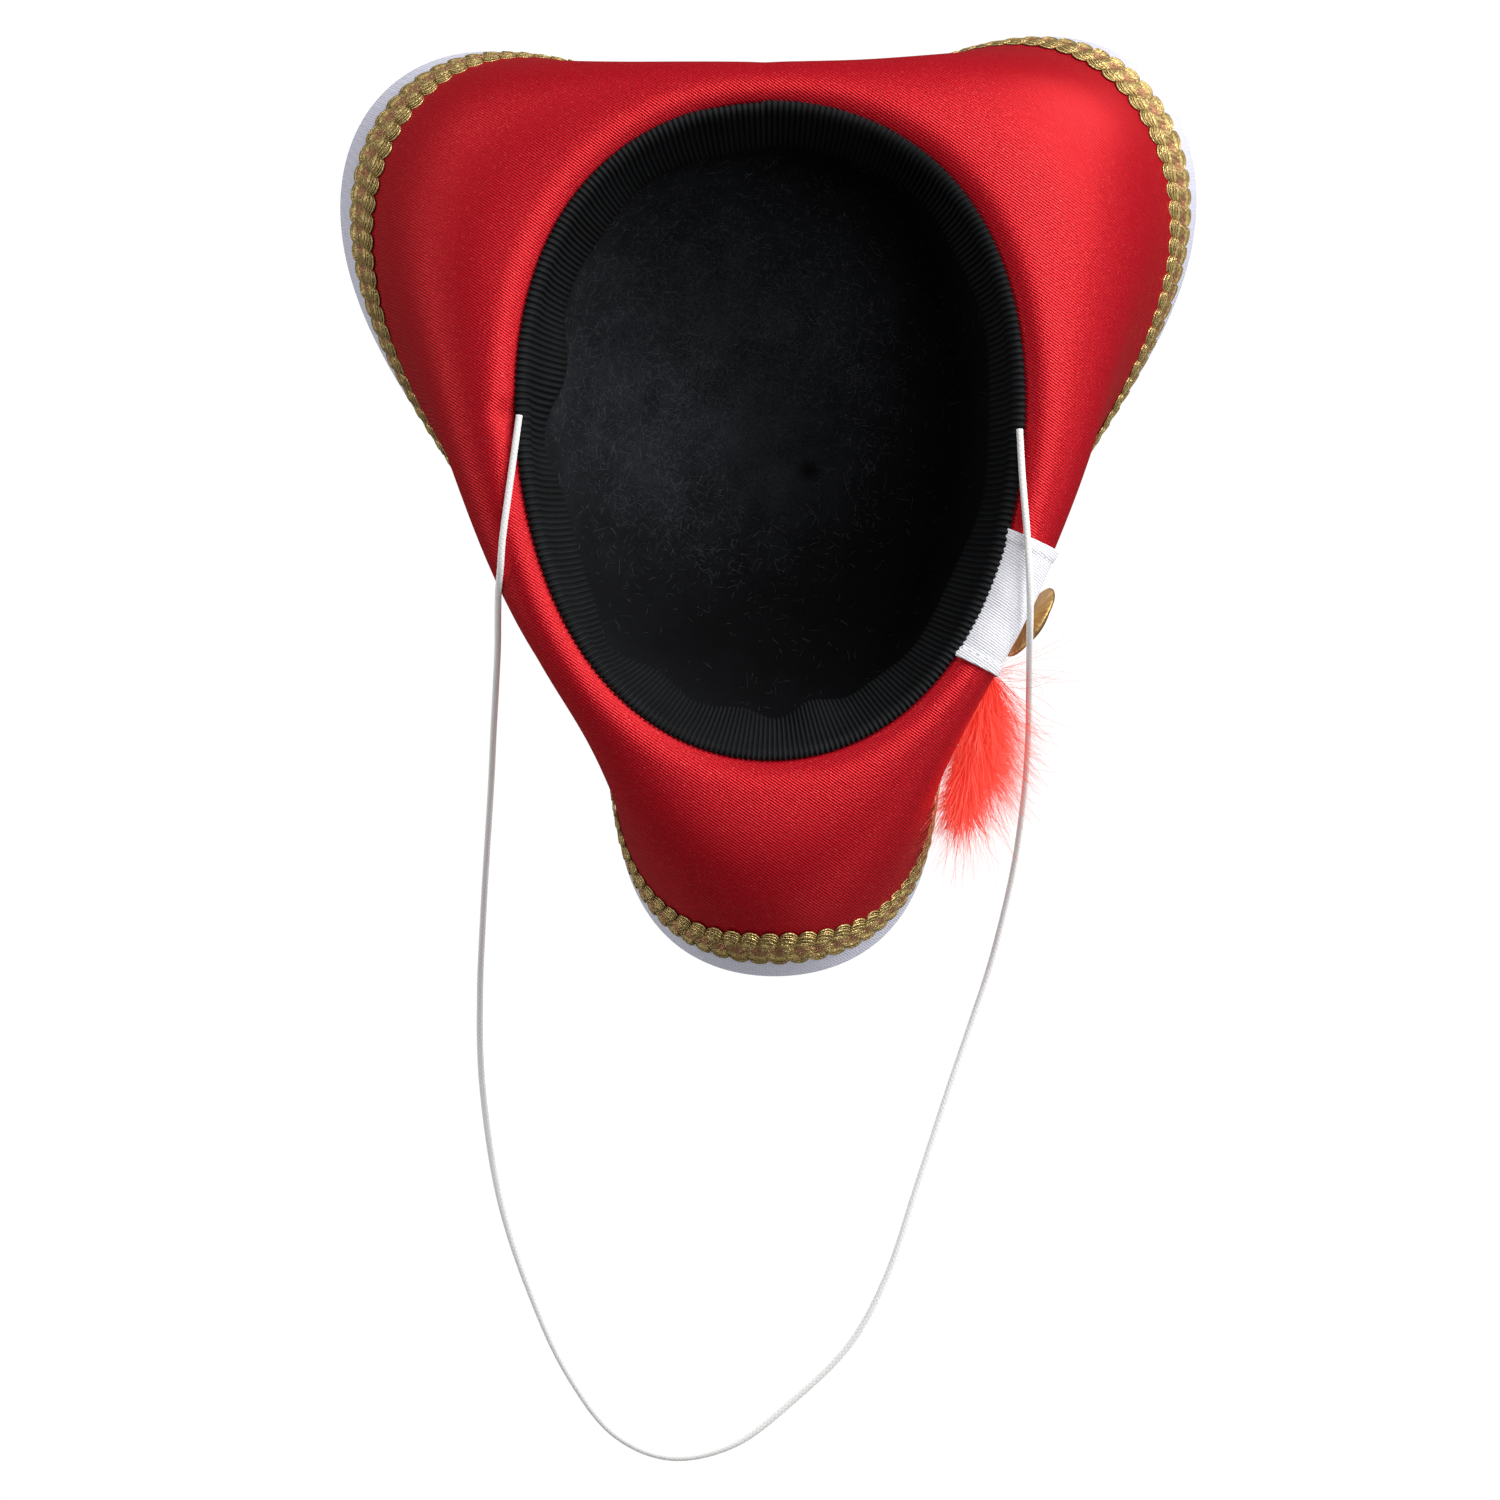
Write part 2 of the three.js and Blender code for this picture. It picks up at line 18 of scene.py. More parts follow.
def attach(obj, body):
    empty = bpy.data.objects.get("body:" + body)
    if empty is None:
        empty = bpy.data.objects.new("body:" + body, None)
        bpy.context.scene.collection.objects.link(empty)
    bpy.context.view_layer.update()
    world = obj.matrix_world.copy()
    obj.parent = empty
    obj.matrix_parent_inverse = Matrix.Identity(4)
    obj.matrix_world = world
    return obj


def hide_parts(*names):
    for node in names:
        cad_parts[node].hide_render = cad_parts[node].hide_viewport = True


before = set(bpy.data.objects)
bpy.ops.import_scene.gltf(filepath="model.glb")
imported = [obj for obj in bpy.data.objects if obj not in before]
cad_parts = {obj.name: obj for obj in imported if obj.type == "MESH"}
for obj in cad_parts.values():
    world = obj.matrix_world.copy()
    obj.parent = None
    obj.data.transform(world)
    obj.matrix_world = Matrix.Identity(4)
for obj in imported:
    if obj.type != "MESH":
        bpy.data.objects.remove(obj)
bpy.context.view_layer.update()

LOG = logging.getLogger("hat")
BODY = "root"
CLOTH_MAP = "cloth"
TAU = 2 * math.pi
# Length of the sweatband round the head.
HEAD_GIRTH = 0.58
# Middle of the painted light inside the crown: the felt is painted paler there and its loose
# fibres crowd round it.
PAINTED_LIGHT_SPOT = (-0.030, 0.038, 0.004)
STRAP_TURN = -0.0845
STRAP_WIDTH = 0.044
FLOOR_GAP = 0.0002

Floats = np.ndarray
Node = bpy.types.Node
Socket = bpy.types.NodeSocket
Tree = bpy.types.NodeTree


class Slot(Enum):
    """Material slots of the record."""

    FELT = "felt_black"
    RED_SATIN = "satin_red"
    WHITE_SATIN = "satin_white"
    BRAID = "braid_gold"
    GROSGRAIN = "grosgrain_black"
    BRASS = "brass"
    FEATHER = "feather_coral"
    ELASTIC = "elastic_white"


# ---------------------------------------------------------------------------
# Helpers
# ---------------------------------------------------------------------------


def linear(colour: str) -> tuple[float, float, float, float]:
    """Turns an sRGB hex colour into linear RGBA.

    Args:
        colour: Colour as "#rrggbb".

    Returns:
        Red, green, blue and an alpha of 1.
    """
    parts = [int(colour[i:i + 2], 16) / 255 for i in (1, 3, 5)]
    red, green, blue = (
        part / 12.92 if part <= 0.04045 else ((part + 0.055) / 1.055) ** 2.4 for part in parts
    )
    return red, green, blue, 1.0


def ease(share: Floats) -> Floats:
    """Rises smoothly from 0 to 1."""
    x = np.clip(share, 0, 1)
    return x * x * (3 - 2 * x)


def bump_at(turn: Floats, centre: float, width: float) -> Floats:
    """Smooth hump of height 1 round a place on the ring.

    Args:
        turn: Shares of a turn.
        centre: Place of the top, as a share of a turn.
        width: Distance from the top to the foot, as a share of a turn.

    Returns:
        Height from 0 to 1 at each turn.
    """
    away = np.abs((np.asarray(turn) - centre + 0.5) % 1 - 0.5)
    return ease(1 - away / width)


def through(points: Sequence[Floats], place: Floats) -> Floats:
    """Smooth curve through points.

    Args:
        points: Points that the curve passes, each a vector, or one vector for each place.
        place: Place along the curve, from 0 at the first point to 1 at the last.

    Returns:
        Array with one point for each place.
    """
    rows = np.stack([np.broadcast_to(point, (len(place), len(np.atleast_2d(point)[0])))
                     for point in points])
    spot = np.clip(place, 0, 1) * (len(rows) - 1)
    first = np.minimum(spot.astype(int), len(rows) - 2)
    share = (spot - first)[:, None]
    each = np.arange(len(place))
    a = rows[np.maximum(first - 1, 0), each]
    b = rows[first, each]
    c = rows[first + 1, each]
    d = rows[np.minimum(first + 2, len(rows) - 1), each]
    return 0.5 * (2 * b + (c - a) * share + (2 * a - 5 * b + 4 * c - d) * share ** 2
                  + (3 * b - a - 3 * c + d) * share ** 3)


def even_points(route: Floats, count: int) -> Floats:
    """Points at even distances along a route.

    Args:
        route: Array of points.
        count: How many points to return.

    Returns:
        Array of count points.
    """
    walked = np.concatenate([[0], np.cumsum(np.linalg.norm(np.diff(route, axis=0), axis=1))])
    stops = np.linspace(0, walked[-1], count)
    return np.stack([np.interp(stops, walked, route[:, axis]) for axis in range(3)], axis=1)


def unit(vectors: Floats) -> Floats:
    """Vectors of length 1 in the same directions."""
    return vectors / np.maximum(np.linalg.norm(vectors, axis=-1, keepdims=True), 1e-12)


def feed(tree: Tree, node: Node, inputs: dict[str | int, object]) -> None:
    """Sets or connects the inputs of a node.

    Args:
        tree: Node tree of the material.
        node: Node whose inputs are set.
        inputs: Values, hex colours or output sockets, by name or number of the input.
    """
    for key, value in inputs.items():
        if isinstance(value, Socket):
            tree.links.new(value, node.inputs[key])
        else:
            node.inputs[key].default_value = linear(value) if isinstance(value, str) else value


def add(tree: Tree, kind: str, inputs: dict[str | int, object] | None = None,
        **settings: object) -> Node:
    """Adds a node to a material.

    Args:
        tree: Node tree of the material.
        kind: Type of the node, without the "ShaderNode" in front.
        inputs: Values, hex colours or output sockets, by name or number of the input.
        settings: Properties of the node.

    Returns:
        The new node.
    """
    node = tree.nodes.new("ShaderNode" + kind)
    for name, value in settings.items():
        setattr(node, name, value)
    feed(tree, node, inputs or {})
    return node


def grid_cloth(mesh: bmesh.types.BMesh, columns: int, rows: int,
               place: Callable[[Floats, Floats], Floats],
               cloth: Callable[[Floats, Floats], Floats] | None = None,
               turned: bool = False) -> list[bmesh.types.BMVert]:
    """Adds a grid to a mesh and bends it to its shape.

    Args:
        mesh: Mesh that receives the grid.
        columns: Faces along the first direction.
        rows: Faces along the second direction.
        place: Gives the points for shares from 0 to 1 in the two directions.
        cloth: Gives the place on the flat cloth, in metres, for the same shares.
        turned: Whether the faces are turned over.

    Returns:
        The new vertices.
    """
    verts = bmesh.ops.create_grid(mesh, x_segments=columns, y_segments=rows, size=0.5)["verts"]
    flat = np.array([vert.co[:2] for vert in verts]) + 0.5
    across = np.round(flat[:, 0] * columns) / columns
    down = np.round(flat[:, 1] * rows) / rows
    points = place(across, down)
    for vert, point in zip(verts, points):
        vert.co = point
    faces = list({face for vert in verts for face in vert.link_faces})
    if cloth is not None:
        layer = mesh.loops.layers.uv.get(CLOTH_MAP) or mesh.loops.layers.uv.new(CLOTH_MAP)
        spots = dict(zip(verts, cloth(across, down)))
        for face in faces:
            for loop in face.loops:
                loop[layer].uv = spots[loop.vert]
    if turned:
        bmesh.ops.reverse_faces(mesh, faces=faces)
    return verts


def close_seams(mesh: bmesh.types.BMesh) -> None:
    """Joins the vertices that meet at a seam or pole."""
    bmesh.ops.remove_doubles(mesh, verts=mesh.verts, dist=2e-6)


def tube(mesh: bmesh.types.BMesh, route: Floats, radius: Floats, sides: int) -> None:
    """Adds a closed tube along a route.

    Args:
        mesh: Mesh that receives the tube.
        route: Array of points along its middle.
        radius: Radius at each point.
        sides: Faces round the tube.
    """
    ahead = unit(np.gradient(route, axis=0))
    side = np.empty_like(ahead)
    side[0] = unit(np.cross(ahead[0], (0.31, 0.17, 0.93)))
    for i in range(1, len(ahead)):
        side[i] = unit(side[i - 1] - ahead[i] * (side[i - 1] @ ahead[i]))
    lift = np.cross(ahead, side)
    lengths = np.concatenate([[0], np.cumsum(np.linalg.norm(np.diff(route, axis=0), axis=1))])
    last = len(route) - 1

    def place(along: Floats, round_it: Floats) -> Floats:
        """Points on the tube's skin."""
        at = np.rint(along * last).astype(int)
        angle = (round_it * TAU)[:, None]
        return route[at] + radius[at][:, None] * (
            side[at] * np.cos(angle) + lift[at] * np.sin(angle))

    def cloth(along: Floats, round_it: Floats) -> Floats:
        """Place on the skin laid flat, in metres."""
        at = np.rint(along * last).astype(int)
        return np.stack([lengths[at], round_it * TAU * float(radius.mean())], axis=1)

    verts = grid_cloth(mesh, last, sides, place, cloth)
    bmesh.ops.remove_doubles(mesh, verts=verts, dist=float(radius.min()) * 0.02)
    edges = [edge for edge in mesh.edges if edge.is_boundary]
    bmesh.ops.holes_fill(mesh, edges=edges, sides=sides)


def comb(mesh: bmesh.types.BMesh, lines: Floats, widths: Floats) -> None:
    """Adds hairs, each a fine strip with a slight keel that narrows to its tip.

    Args:
        mesh: Mesh that receives the hairs.
        lines: Points along each hair: hairs, points and their three numbers.
        widths: Width of each hair at its root.
    """
    ahead = unit(np.gradient(lines, axis=1))
    side = unit(np.cross(ahead, (0.2, -0.3, 0.93)))
    keel = np.cross(side, ahead)
    last, columns = lines.shape[1] - 1, 3 * len(lines) - 1

    def place(share: Floats, along: Floats) -> Floats:
        """Points on the hairs."""
        column, at = np.rint(share * columns).astype(int), np.rint(along * last).astype(int)
        hair, across = column // 3, column % 3 - 1.0
        half = widths[hair] * (1 - 0.85 * along ** 1.5) * across / 2
        ridge = widths[hair] * 0.3 * (1 - np.abs(across)) * (1 - along)
        return lines[hair, at] + side[hair, at] * half[:, None] + keel[hair, at] * ridge[:, None]

    def cloth(share: Floats, along: Floats) -> Floats:
        """Share of the way from root to tip, and across the hair."""
        return np.stack([along, np.rint(share * columns) % 3 / 2], axis=1)

    grid_cloth(mesh, columns, last, place, cloth)
    layer = mesh.loops.layers.uv[CLOTH_MAP]
    between = [face for face in mesh.faces
               if max(loop[layer].uv.y for loop in face.loops)
               - min(loop[layer].uv.y for loop in face.loops) > 0.9]
    bmesh.ops.delete(mesh, geom=between, context="FACES_ONLY")


def make_piece(name: str, mesh: bmesh.types.BMesh, slot: Slot, finish: "Finish",
               node: str | None = None) -> bpy.types.Object:
    """Turns a mesh into a finished piece that rides on the hat.

    Args:
        name: Name of the piece.
        mesh: Its mesh, which is freed.
        slot: Slot of the piece; not used.
        finish: Finish of all its faces.
        node: CAD node that the piece stands for.

    Returns:
        The new object.
    """
    data = bpy.data.meshes.new(name)
    mesh.to_mesh(data)
    mesh.free()
    data.polygons.foreach_set("use_smooth", [True] * len(data.polygons))
    piece = bpy.data.objects.new(name, data)
    bpy.context.scene.collection.objects.link(piece)
    data.materials.append(finish.make())
    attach(piece, BODY)
    if node is not None:
        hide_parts(node)
    LOG.info("%s: %d faces", name, len(data.polygons))
    return piece


def thicken(piece: bpy.types.Object, wall: float) -> None:
    """Gives a sheet its wall, on the side that its faces point away from."""
    shell = piece.modifiers.new("wall", "SOLIDIFY")
    shell.thickness = wall
    shell.offset = -1
    shell.use_even_offset = True


# ---------------------------------------------------------------------------
# Finishes
# ---------------------------------------------------------------------------


@dataclass(frozen=True)
class Pattern:
    """Node tree of a material, with the textures and sums that patterns are made of."""

    tree: Tree

    def place(self) -> Socket:
        """Place on the piece, in metres."""
        return add(self.tree, "TexCoord").outputs["Object"]

    def cloth(self) -> Socket:
        """Place on the flat cloth, in metres."""
        return add(self.tree, "UVMap", uv_map=CLOTH_MAP).outputs[0]

    def mapped(self, at: Socket, inputs: dict) -> Socket:
        """Place that is turned or stretched."""
        return add(self.tree, "Mapping", {"Vector": at, **inputs}).outputs[0]

    def part(self, vector: Socket, axis: int) -> Socket:
        """One number of a vector."""
        return add(self.tree, "SeparateXYZ", {0: vector}).outputs[axis]

    def away(self, at: Socket, spot: tuple[float, float, float]) -> Socket:
        """Distance from a spot."""
        node = add(self.tree, "VectorMath", {0: at, 1: spot}, operation="DISTANCE")
        return node.outputs["Value"]

    def noise(self, at: Socket, scale: float, detail: float, more: dict | None = None) -> Socket:
        """Cloudy noise, finer as the scale rises."""
        inputs = {"Vector": at, "Scale": scale, "Detail": detail, **(more or {})}
        return add(self.tree, "TexNoise", inputs).outputs["Fac"]

    def wave(self, at: Socket, pitch: float, axis: str = "X", more: dict | None = None) -> Socket:
        """Soft lines that follow each other along an axis, one pitch apart in metres."""
        inputs = {"Vector": at, "Scale": TAU / 20 / pitch, **(more or {})}
        return add(self.tree, "TexWave", inputs, bands_direction=axis).outputs["Fac"]

    def remap(self, value: Socket, span: tuple[float, float],
              to: tuple[float, float] = (0.0, 1.0), kind: str = "LINEAR") -> Socket:
        """Value moved from one span to another."""
        inputs = {"Value": value, "From Min": span[0], "From Max": span[1],
                  "To Min": to[0], "To Max": to[1]}
        return add(self.tree, "MapRange", inputs, interpolation_type=kind).outputs[0]

    def sum(self, operation: str, *terms: Socket | float) -> Socket:
        """Result of a sum of two or three terms."""
        return add(self.tree, "Math", dict(enumerate(terms)), operation=operation).outputs[0]

    def blend(self, share: Socket, first: Socket | str, second: Socket | str) -> Socket:
        """Colour between two colours."""
        node = add(self.tree, "Mix", {0: share, 6: first, 7: second}, data_type="RGBA")
        return node.outputs[2]

    def bump(self, height: Socket, depth: float, over: Socket | None = None) -> Socket:
        """Relief of a depth in metres, over another relief or on the bare face."""
        inputs = {"Height": height, "Strength": 1.0, "Distance": depth}
        if over is not None:
            inputs["Normal"] = over
        return add(self.tree, "Bump", inputs).outputs[0]


@dataclass(frozen=True)
class Finish:
    """A finish that is made into one material."""

    name: str

    def make(self) -> bpy.types.Material:
        """Builds the material.

        Returns:
            The new material.
        """
        material = bpy.data.materials.new(self.name)
        material.use_nodes = True
        tree = material.node_tree
        tree.nodes.clear()
        shader = add(tree, "BsdfPrincipled")
        add(tree, "OutputMaterial", {"Surface": shader.outputs[0]})
        feed(tree, shader, self.dress(Pattern(tree)))
        return material

    def dress(self, pattern: Pattern) -> dict[str, object]:
        """Builds the pattern.

        Args:
            pattern: Node tree that receives it.

        Returns:
            Values, hex colours and sockets for the shader's inputs.
        """
        raise NotImplementedError


@dataclass(frozen=True)
class WovenSatin(Finish):
    """Polyester satin: long floats over the weave give a smooth cloth with a soft, broad gloss.

    The eye sees deep folds, wide pale bands where the floats face the light, and a faint
    diagonal line of the weave. The floats reflect in the cloth's own colour, so a part of the
    gloss is set as metallic.
    """

    light: str = "#da0626"
    deep: str = "#a8001c"
    # Colour of the painted glints: fine bright specks where single floats would catch the light.
    painted_glint: str = "#ff6a62"
    tint: str = "#ffc8a8"
    gloss: float = 0.43
    metallic: float = 0.45
    # The threads are 0.1 mm apart, too fine to show, so the weave is drawn 0.8 mm apart.
    thread: float = 0.0008
    weave_turn: float = 0.6
    relief: float = 0.00018
    wave_depth: float = 0.0004
    rib: float = 0.001
    rib_relief: float = 0.0

    def dress(self, pattern: Pattern) -> dict[str, object]:
        """Adds the weave, its lines, the slow waves of the cloth and painted glints as bright
        specks.
        """
        place = pattern.place()
        turned = pattern.mapped(place, {"Rotation": (0, 0, self.weave_turn)})
        weave = pattern.wave(turned, self.thread, "Y",
                             {"Distortion": 1.2, "Detail": 2, "Detail Scale": 3.0})
        slub = pattern.noise(turned, 900.0, 3, {"Roughness": 0.6})
        mixed = pattern.sum("MULTIPLY_ADD", slub, 0.5, pattern.sum("MULTIPLY", weave, 0.7))
        # Painted highlights: fine specks of the glint colour, where single floats catch the light.
        glint_specks = pattern.remap(pattern.noise(place, 1800.0, 1), (0.62, 0.76), (0.0, 0.4))
        waves = pattern.bump(pattern.noise(place, 28.0, 2), self.wave_depth)
        normal = pattern.bump(mixed, self.relief, waves)
        if self.rib_relief:
            ribs = pattern.wave(pattern.cloth(), self.rib, "X", {"Distortion": 0.6, "Detail": 1})
            normal = pattern.bump(ribs, self.rib_relief, normal)
        cloth = pattern.blend(mixed, self.deep, self.light)
        rough = pattern.remap(mixed, (0.0, 1.0), (self.gloss - 0.05, self.gloss + 0.06))
        return {"Base Color": pattern.blend(glint_specks, cloth, self.painted_glint), "Roughness": rough,
                "Normal": normal, "IOR": 1.5, "Specular IOR Level": 0.7,
                "Specular Tint": self.tint, "Metallic": self.metallic}


@dataclass(frozen=True)
class PressedFelt(Finish):
    """Wool felt, pressed and dyed: matt, with short fibres that catch the light as grey fuzz."""

    dark: str = "#050506"
    pale: str = "#52555c"
    fibre: float = 0.0006
    relief: float = 0.0004
    # Painted shade: a dark spot a little to one side of the middle of the crown, for a small
    # hollow.
    spot: tuple[float, float, float] = (0.013, -0.004, 0.002)
    hollow_shade_radius: float = 0.006

    def dress(self, pattern: Pattern) -> dict[str, object]:
        """Adds the fibres and the cloudy fuzz, with painted light on one side and the painted
        shade of a small hollow.
        """
        place = pattern.place()
        fuzz = pattern.noise(place, 1 / self.fibre, 6, {"Roughness": 0.7, "Distortion": 1.2})
        cloud = pattern.noise(place, 60.0, 5, {"Roughness": 0.65})
        both = pattern.sum("MULTIPLY", fuzz, pattern.remap(cloud, (0.3, 0.7), (0.42, 0.6)))
        # Painted light: the fuzz is painted pale only round the spot where the light falls, fading
        # away from it.
        painted_light = pattern.remap(pattern.away(place, PAINTED_LIGHT_SPOT), (0.02, 0.1), (1.0, 0.1),
                                "SMOOTHSTEP")
        amount = pattern.sum("MULTIPLY", pattern.remap(both, (0.15, 0.42)), painted_light)
        # Painted shade of a small hollow: the colour goes nearly black at the spot.
        shade_mask = pattern.remap(pattern.away(place, self.spot), (0.0, self.hollow_shade_radius),
                             (0.15, 1.0), "SMOOTHSTEP")
        colour = pattern.blend(amount, self.dark, self.pale)
        return {"Base Color": pattern.blend(shade_mask, "#000000", colour),
                "Normal": pattern.bump(both, self.relief), "Roughness": 0.95,
                "Specular IOR Level": 0.15, "Sheen Weight": 0.05, "Sheen Roughness": 0.6,
                "Sheen Tint": "#8e929c"}


@dataclass(frozen=True)
class GrosgrainRibbon(Finish):
    """Grosgrain ribbon: thick weft ribs under fine warp threads, with painted shade in the gaps
    between them.
    """

    rib_colour: str = "#1a1d22"
    gap_shade: str = "#030405"
    rib: float = 0.0019
    relief: float = 0.0004

    def dress(self, pattern: Pattern) -> dict[str, object]:
        """Adds the ribs, which run across the ribbon, with painted shade in the gaps."""
        flat = pattern.cloth()
        ribs = pattern.wave(flat, self.rib, "X", {"Distortion": 0.5, "Detail": 2,
                                                  "Detail Scale": 0.6,
                                                  "Phase Offset": -math.pi / 2})
        height = pattern.sum("MULTIPLY_ADD", pattern.noise(flat, 2500.0, 3), 0.25, ribs)
        # Painted shade: the gaps between the ribs take the gap shade, darker in some patches than
        # in others.
        shade_mask = pattern.sum("MULTIPLY", height, pattern.noise(flat, 70.0, 4))
        share = pattern.remap(shade_mask, (0.1, 0.75))
        return {"Base Color": pattern.blend(share, self.gap_shade, self.rib_colour),
                "Normal": pattern.bump(height, self.relief), "Roughness": 0.75,
                "Specular IOR Level": 0.3}


@dataclass(frozen=True)
class GiltThread(Finish):
    """Metallised film wound round a cotton core: gold with painted glints and painted shade in the
    gaps.
    """

    glint_gold: str = "#ffe092"
    shaded_gold: str = "#5c3006"
    rosy: str = "#cc946c"
    wind: float = 0.0009
    facet: float = 0.0006
    relief: float = 0.0003
    shine: float = 0.55
    edge: float = 0.0105
    scallop: float = 0.0064

    def dress(self, pattern: Pattern) -> dict[str, object]:
        """Adds the winding of the film with painted shade in its gaps, painted glints on its
        facets and rosy worn patches.
        """
        flat, place = pattern.cloth(), pattern.place()
        wound = pattern.wave(flat, self.wind, "Y", {"Distortion": 0.5, "Detail": 1})
        facets = add(pattern.tree, "TexVoronoi", {"Vector": place, "Scale": 1 / self.facet})
        # Painted light: each facet is painted at random between shade and glint, and the winding's
        # gaps take painted shade.
        painted_glint = pattern.part(facets.outputs["Color"], 0)
        share = pattern.remap(pattern.sum("MULTIPLY_ADD", painted_glint, 0.5, wound), (0.3, 0.95))
        inner = pattern.remap(pattern.part(flat, 1), (self.edge * 0.5, self.edge * 0.8),
                              (-0.12, 0.1))
        patch = pattern.sum("MULTIPLY_ADD", pattern.wave(flat, self.scallop), 0.2, inner)
        cloudy = pattern.sum("MULTIPLY_ADD", pattern.noise(place, 330.0, 3), 0.5, patch)
        gold = pattern.blend(share, self.shaded_gold, self.glint_gold)
        height = pattern.sum("ADD", wound, facets.outputs["Distance"])
        return {"Base Color": pattern.blend(pattern.remap(cloudy, (0.35, 0.45)), gold, self.rosy),
                "Normal": pattern.bump(height, self.relief), "Metallic": self.shine,
                "Roughness": 0.27}


@dataclass(frozen=True)
class StampedBrass(Finish):
    """Brass sheet, stamped and left unpolished: warm olive gold, with painted highlights streaked
    from the middle out.
    """

    glint_gold: str = "#f0c884"
    shaded_brass: str = "#a07a3c"
    relief: float = 0.0001

    def dress(self, pattern: Pattern) -> dict[str, object]:
        """Adds the streaks of painted highlight and shade, which run from the middle of the button
        outwards.
        """
        squeezed = pattern.mapped(pattern.cloth(), {"Scale": (2200.0, 120.0, 1.0)})
        streaks = pattern.noise(squeezed, 1.0, 4)
        # Painted light: lighter streaks are painted highlights along the fine radial ribs, darker
        # ones painted shade.
        share = pattern.remap(streaks, (0.35, 0.68))
        return {"Base Color": pattern.blend(share, self.shaded_brass, self.glint_gold),
                "Normal": pattern.bump(streaks, self.relief), "Metallic": 0.85,
                "Roughness": 0.42}


@dataclass(frozen=True)
class DyedDown(Finish):
    """Dyed marabou: fine downy barbs, pale where they are thin, with a painted glow for the light
    they let through.
    """

    root: str = "#fa4434"
    tip: str = "#ff7464"
    # Painted glow: the down gives off light of its root colour for the light from behind that
    # passes through it; a closed fibre gets none.
    glow: float = 0.14

    def dress(self, pattern: Pattern) -> dict[str, object]:
        """Colours the barbs from root to tip and gives them a painted glow for the light through
        them.
        """
        along = pattern.part(pattern.cloth(), 0)
        return {"Base Color": pattern.blend(along, self.root, self.tip), "Roughness": 0.7,
                "Specular IOR Level": 0.2, "Emission Color": self.root,
                "Emission Strength": self.glow}


@dataclass(frozen=True)
class CoveredElastic(Finish):
    """Rubber core in a braided polyester cover: off-white, matt, with a fine crossed braid whose
    dips take a faint painted shade.
    """

    light: str = "#ffffff"
    gap: str = "#f0f0ee"
    pick: float = 0.0012
    slant: float = 0.7
    relief: float = 0.00006

    def dress(self, pattern: Pattern) -> dict[str, object]:
        """Adds the two crossing runs of the braid, with painted shade where they dip."""
        flat = pattern.cloth()
        runs = [pattern.wave(pattern.mapped(flat, {"Rotation": (0, 0, angle)}), self.pick)
                for angle in (self.slant, -self.slant)]
        height = pattern.sum("MULTIPLY", *runs)
        # Painted shade: the colour darkens towards the gap colour where the braid dips.
        return {"Base Color": pattern.blend(height, self.gap, self.light),
                "Normal": pattern.bump(height, self.relief), "Roughness": 0.7,
                "Specular IOR Level": 0.3}


@dataclass(frozen=True)
class PaperFloor(Finish):
    """White paper, matt and evenly lit: it brightens matt pieces, but no gloss shows it."""

    colour: str = "#404040"
    glow: float = 1.0
    bounce: float = 1.15

    def dress(self, pattern: Pattern) -> dict[str, object]:
        """Sets the paper's white and its even light."""
        ray = add(pattern.tree, "LightPath").outputs
        seen = pattern.sum("MULTIPLY", ray["Is Camera Ray"], self.glow)
        lit = pattern.sum("MULTIPLY_ADD", ray["Is Diffuse Ray"], self.bounce, seen)
        return {"Base Color": self.colour, "Roughness": 1.0, "Specular IOR Level": 0.0,
                "Emission Color": "#ffffff", "Emission Strength": lit}


WHITE_SATIN = WovenSatin("woven_polyester_satin_white", light="#dedeea", deep="#cfcfdf",
                         painted_glint="#ffffff", tint="#ffffff", gloss=0.5, metallic=0.0)
RIBBED_SATIN = WovenSatin("ribbed_polyester_satin_white", light="#dcdceb", deep="#cbcbe0",
                          painted_glint="#ffffff", tint="#ffffff", gloss=0.45, metallic=0.0,
                          rib_relief=0.00005)
STRAP_SATIN = WovenSatin("strap_satin_white", light="#f8f8ff", deep="#f0f0f8",
                         painted_glint="#ffffff", tint="#ffffff", gloss=0.55, metallic=0.0)


# ---------------------------------------------------------------------------
# Shape that all pieces follow
# ---------------------------------------------------------------------------


@dataclass(frozen=True)
class HeadOval:
    """Outline of the head opening, a little fuller at the back than at the front."""

    length: float = 0.207
    width: float = 0.1588
    back_fullness: float = 0.07
    end_fullness: float = 0.1

    def at(self, turn: Floats) -> tuple[Floats, Floats]:
        """Finds the outline at shares of a turn from the wearer's right.

        Args:
            turn: Shares of a turn.

        Returns:
            Points and outward directions, two numbers each.
        """
        angle = np.asarray(turn) * TAU
        sin, cos = np.sin(angle), np.cos(angle)
        full = 1 + self.back_fullness * sin + self.end_fullness * sin ** 2
        slope = self.back_fullness * cos + 2 * self.end_fullness * sin * cos
        half = self.width / 2
        across = half * (cos * slope - sin * full)
        along = self.length / 2 * cos
        point = np.stack([half * cos * full, self.length / 2 * sin], axis=-1)
        return point, unit(np.stack([along, -across], axis=-1))


@dataclass(frozen=True)
class Corner:
    """One of the three corners: where it points, how deep it is and how steeply it ends."""

    heading: float
    depth: float
    slope: float


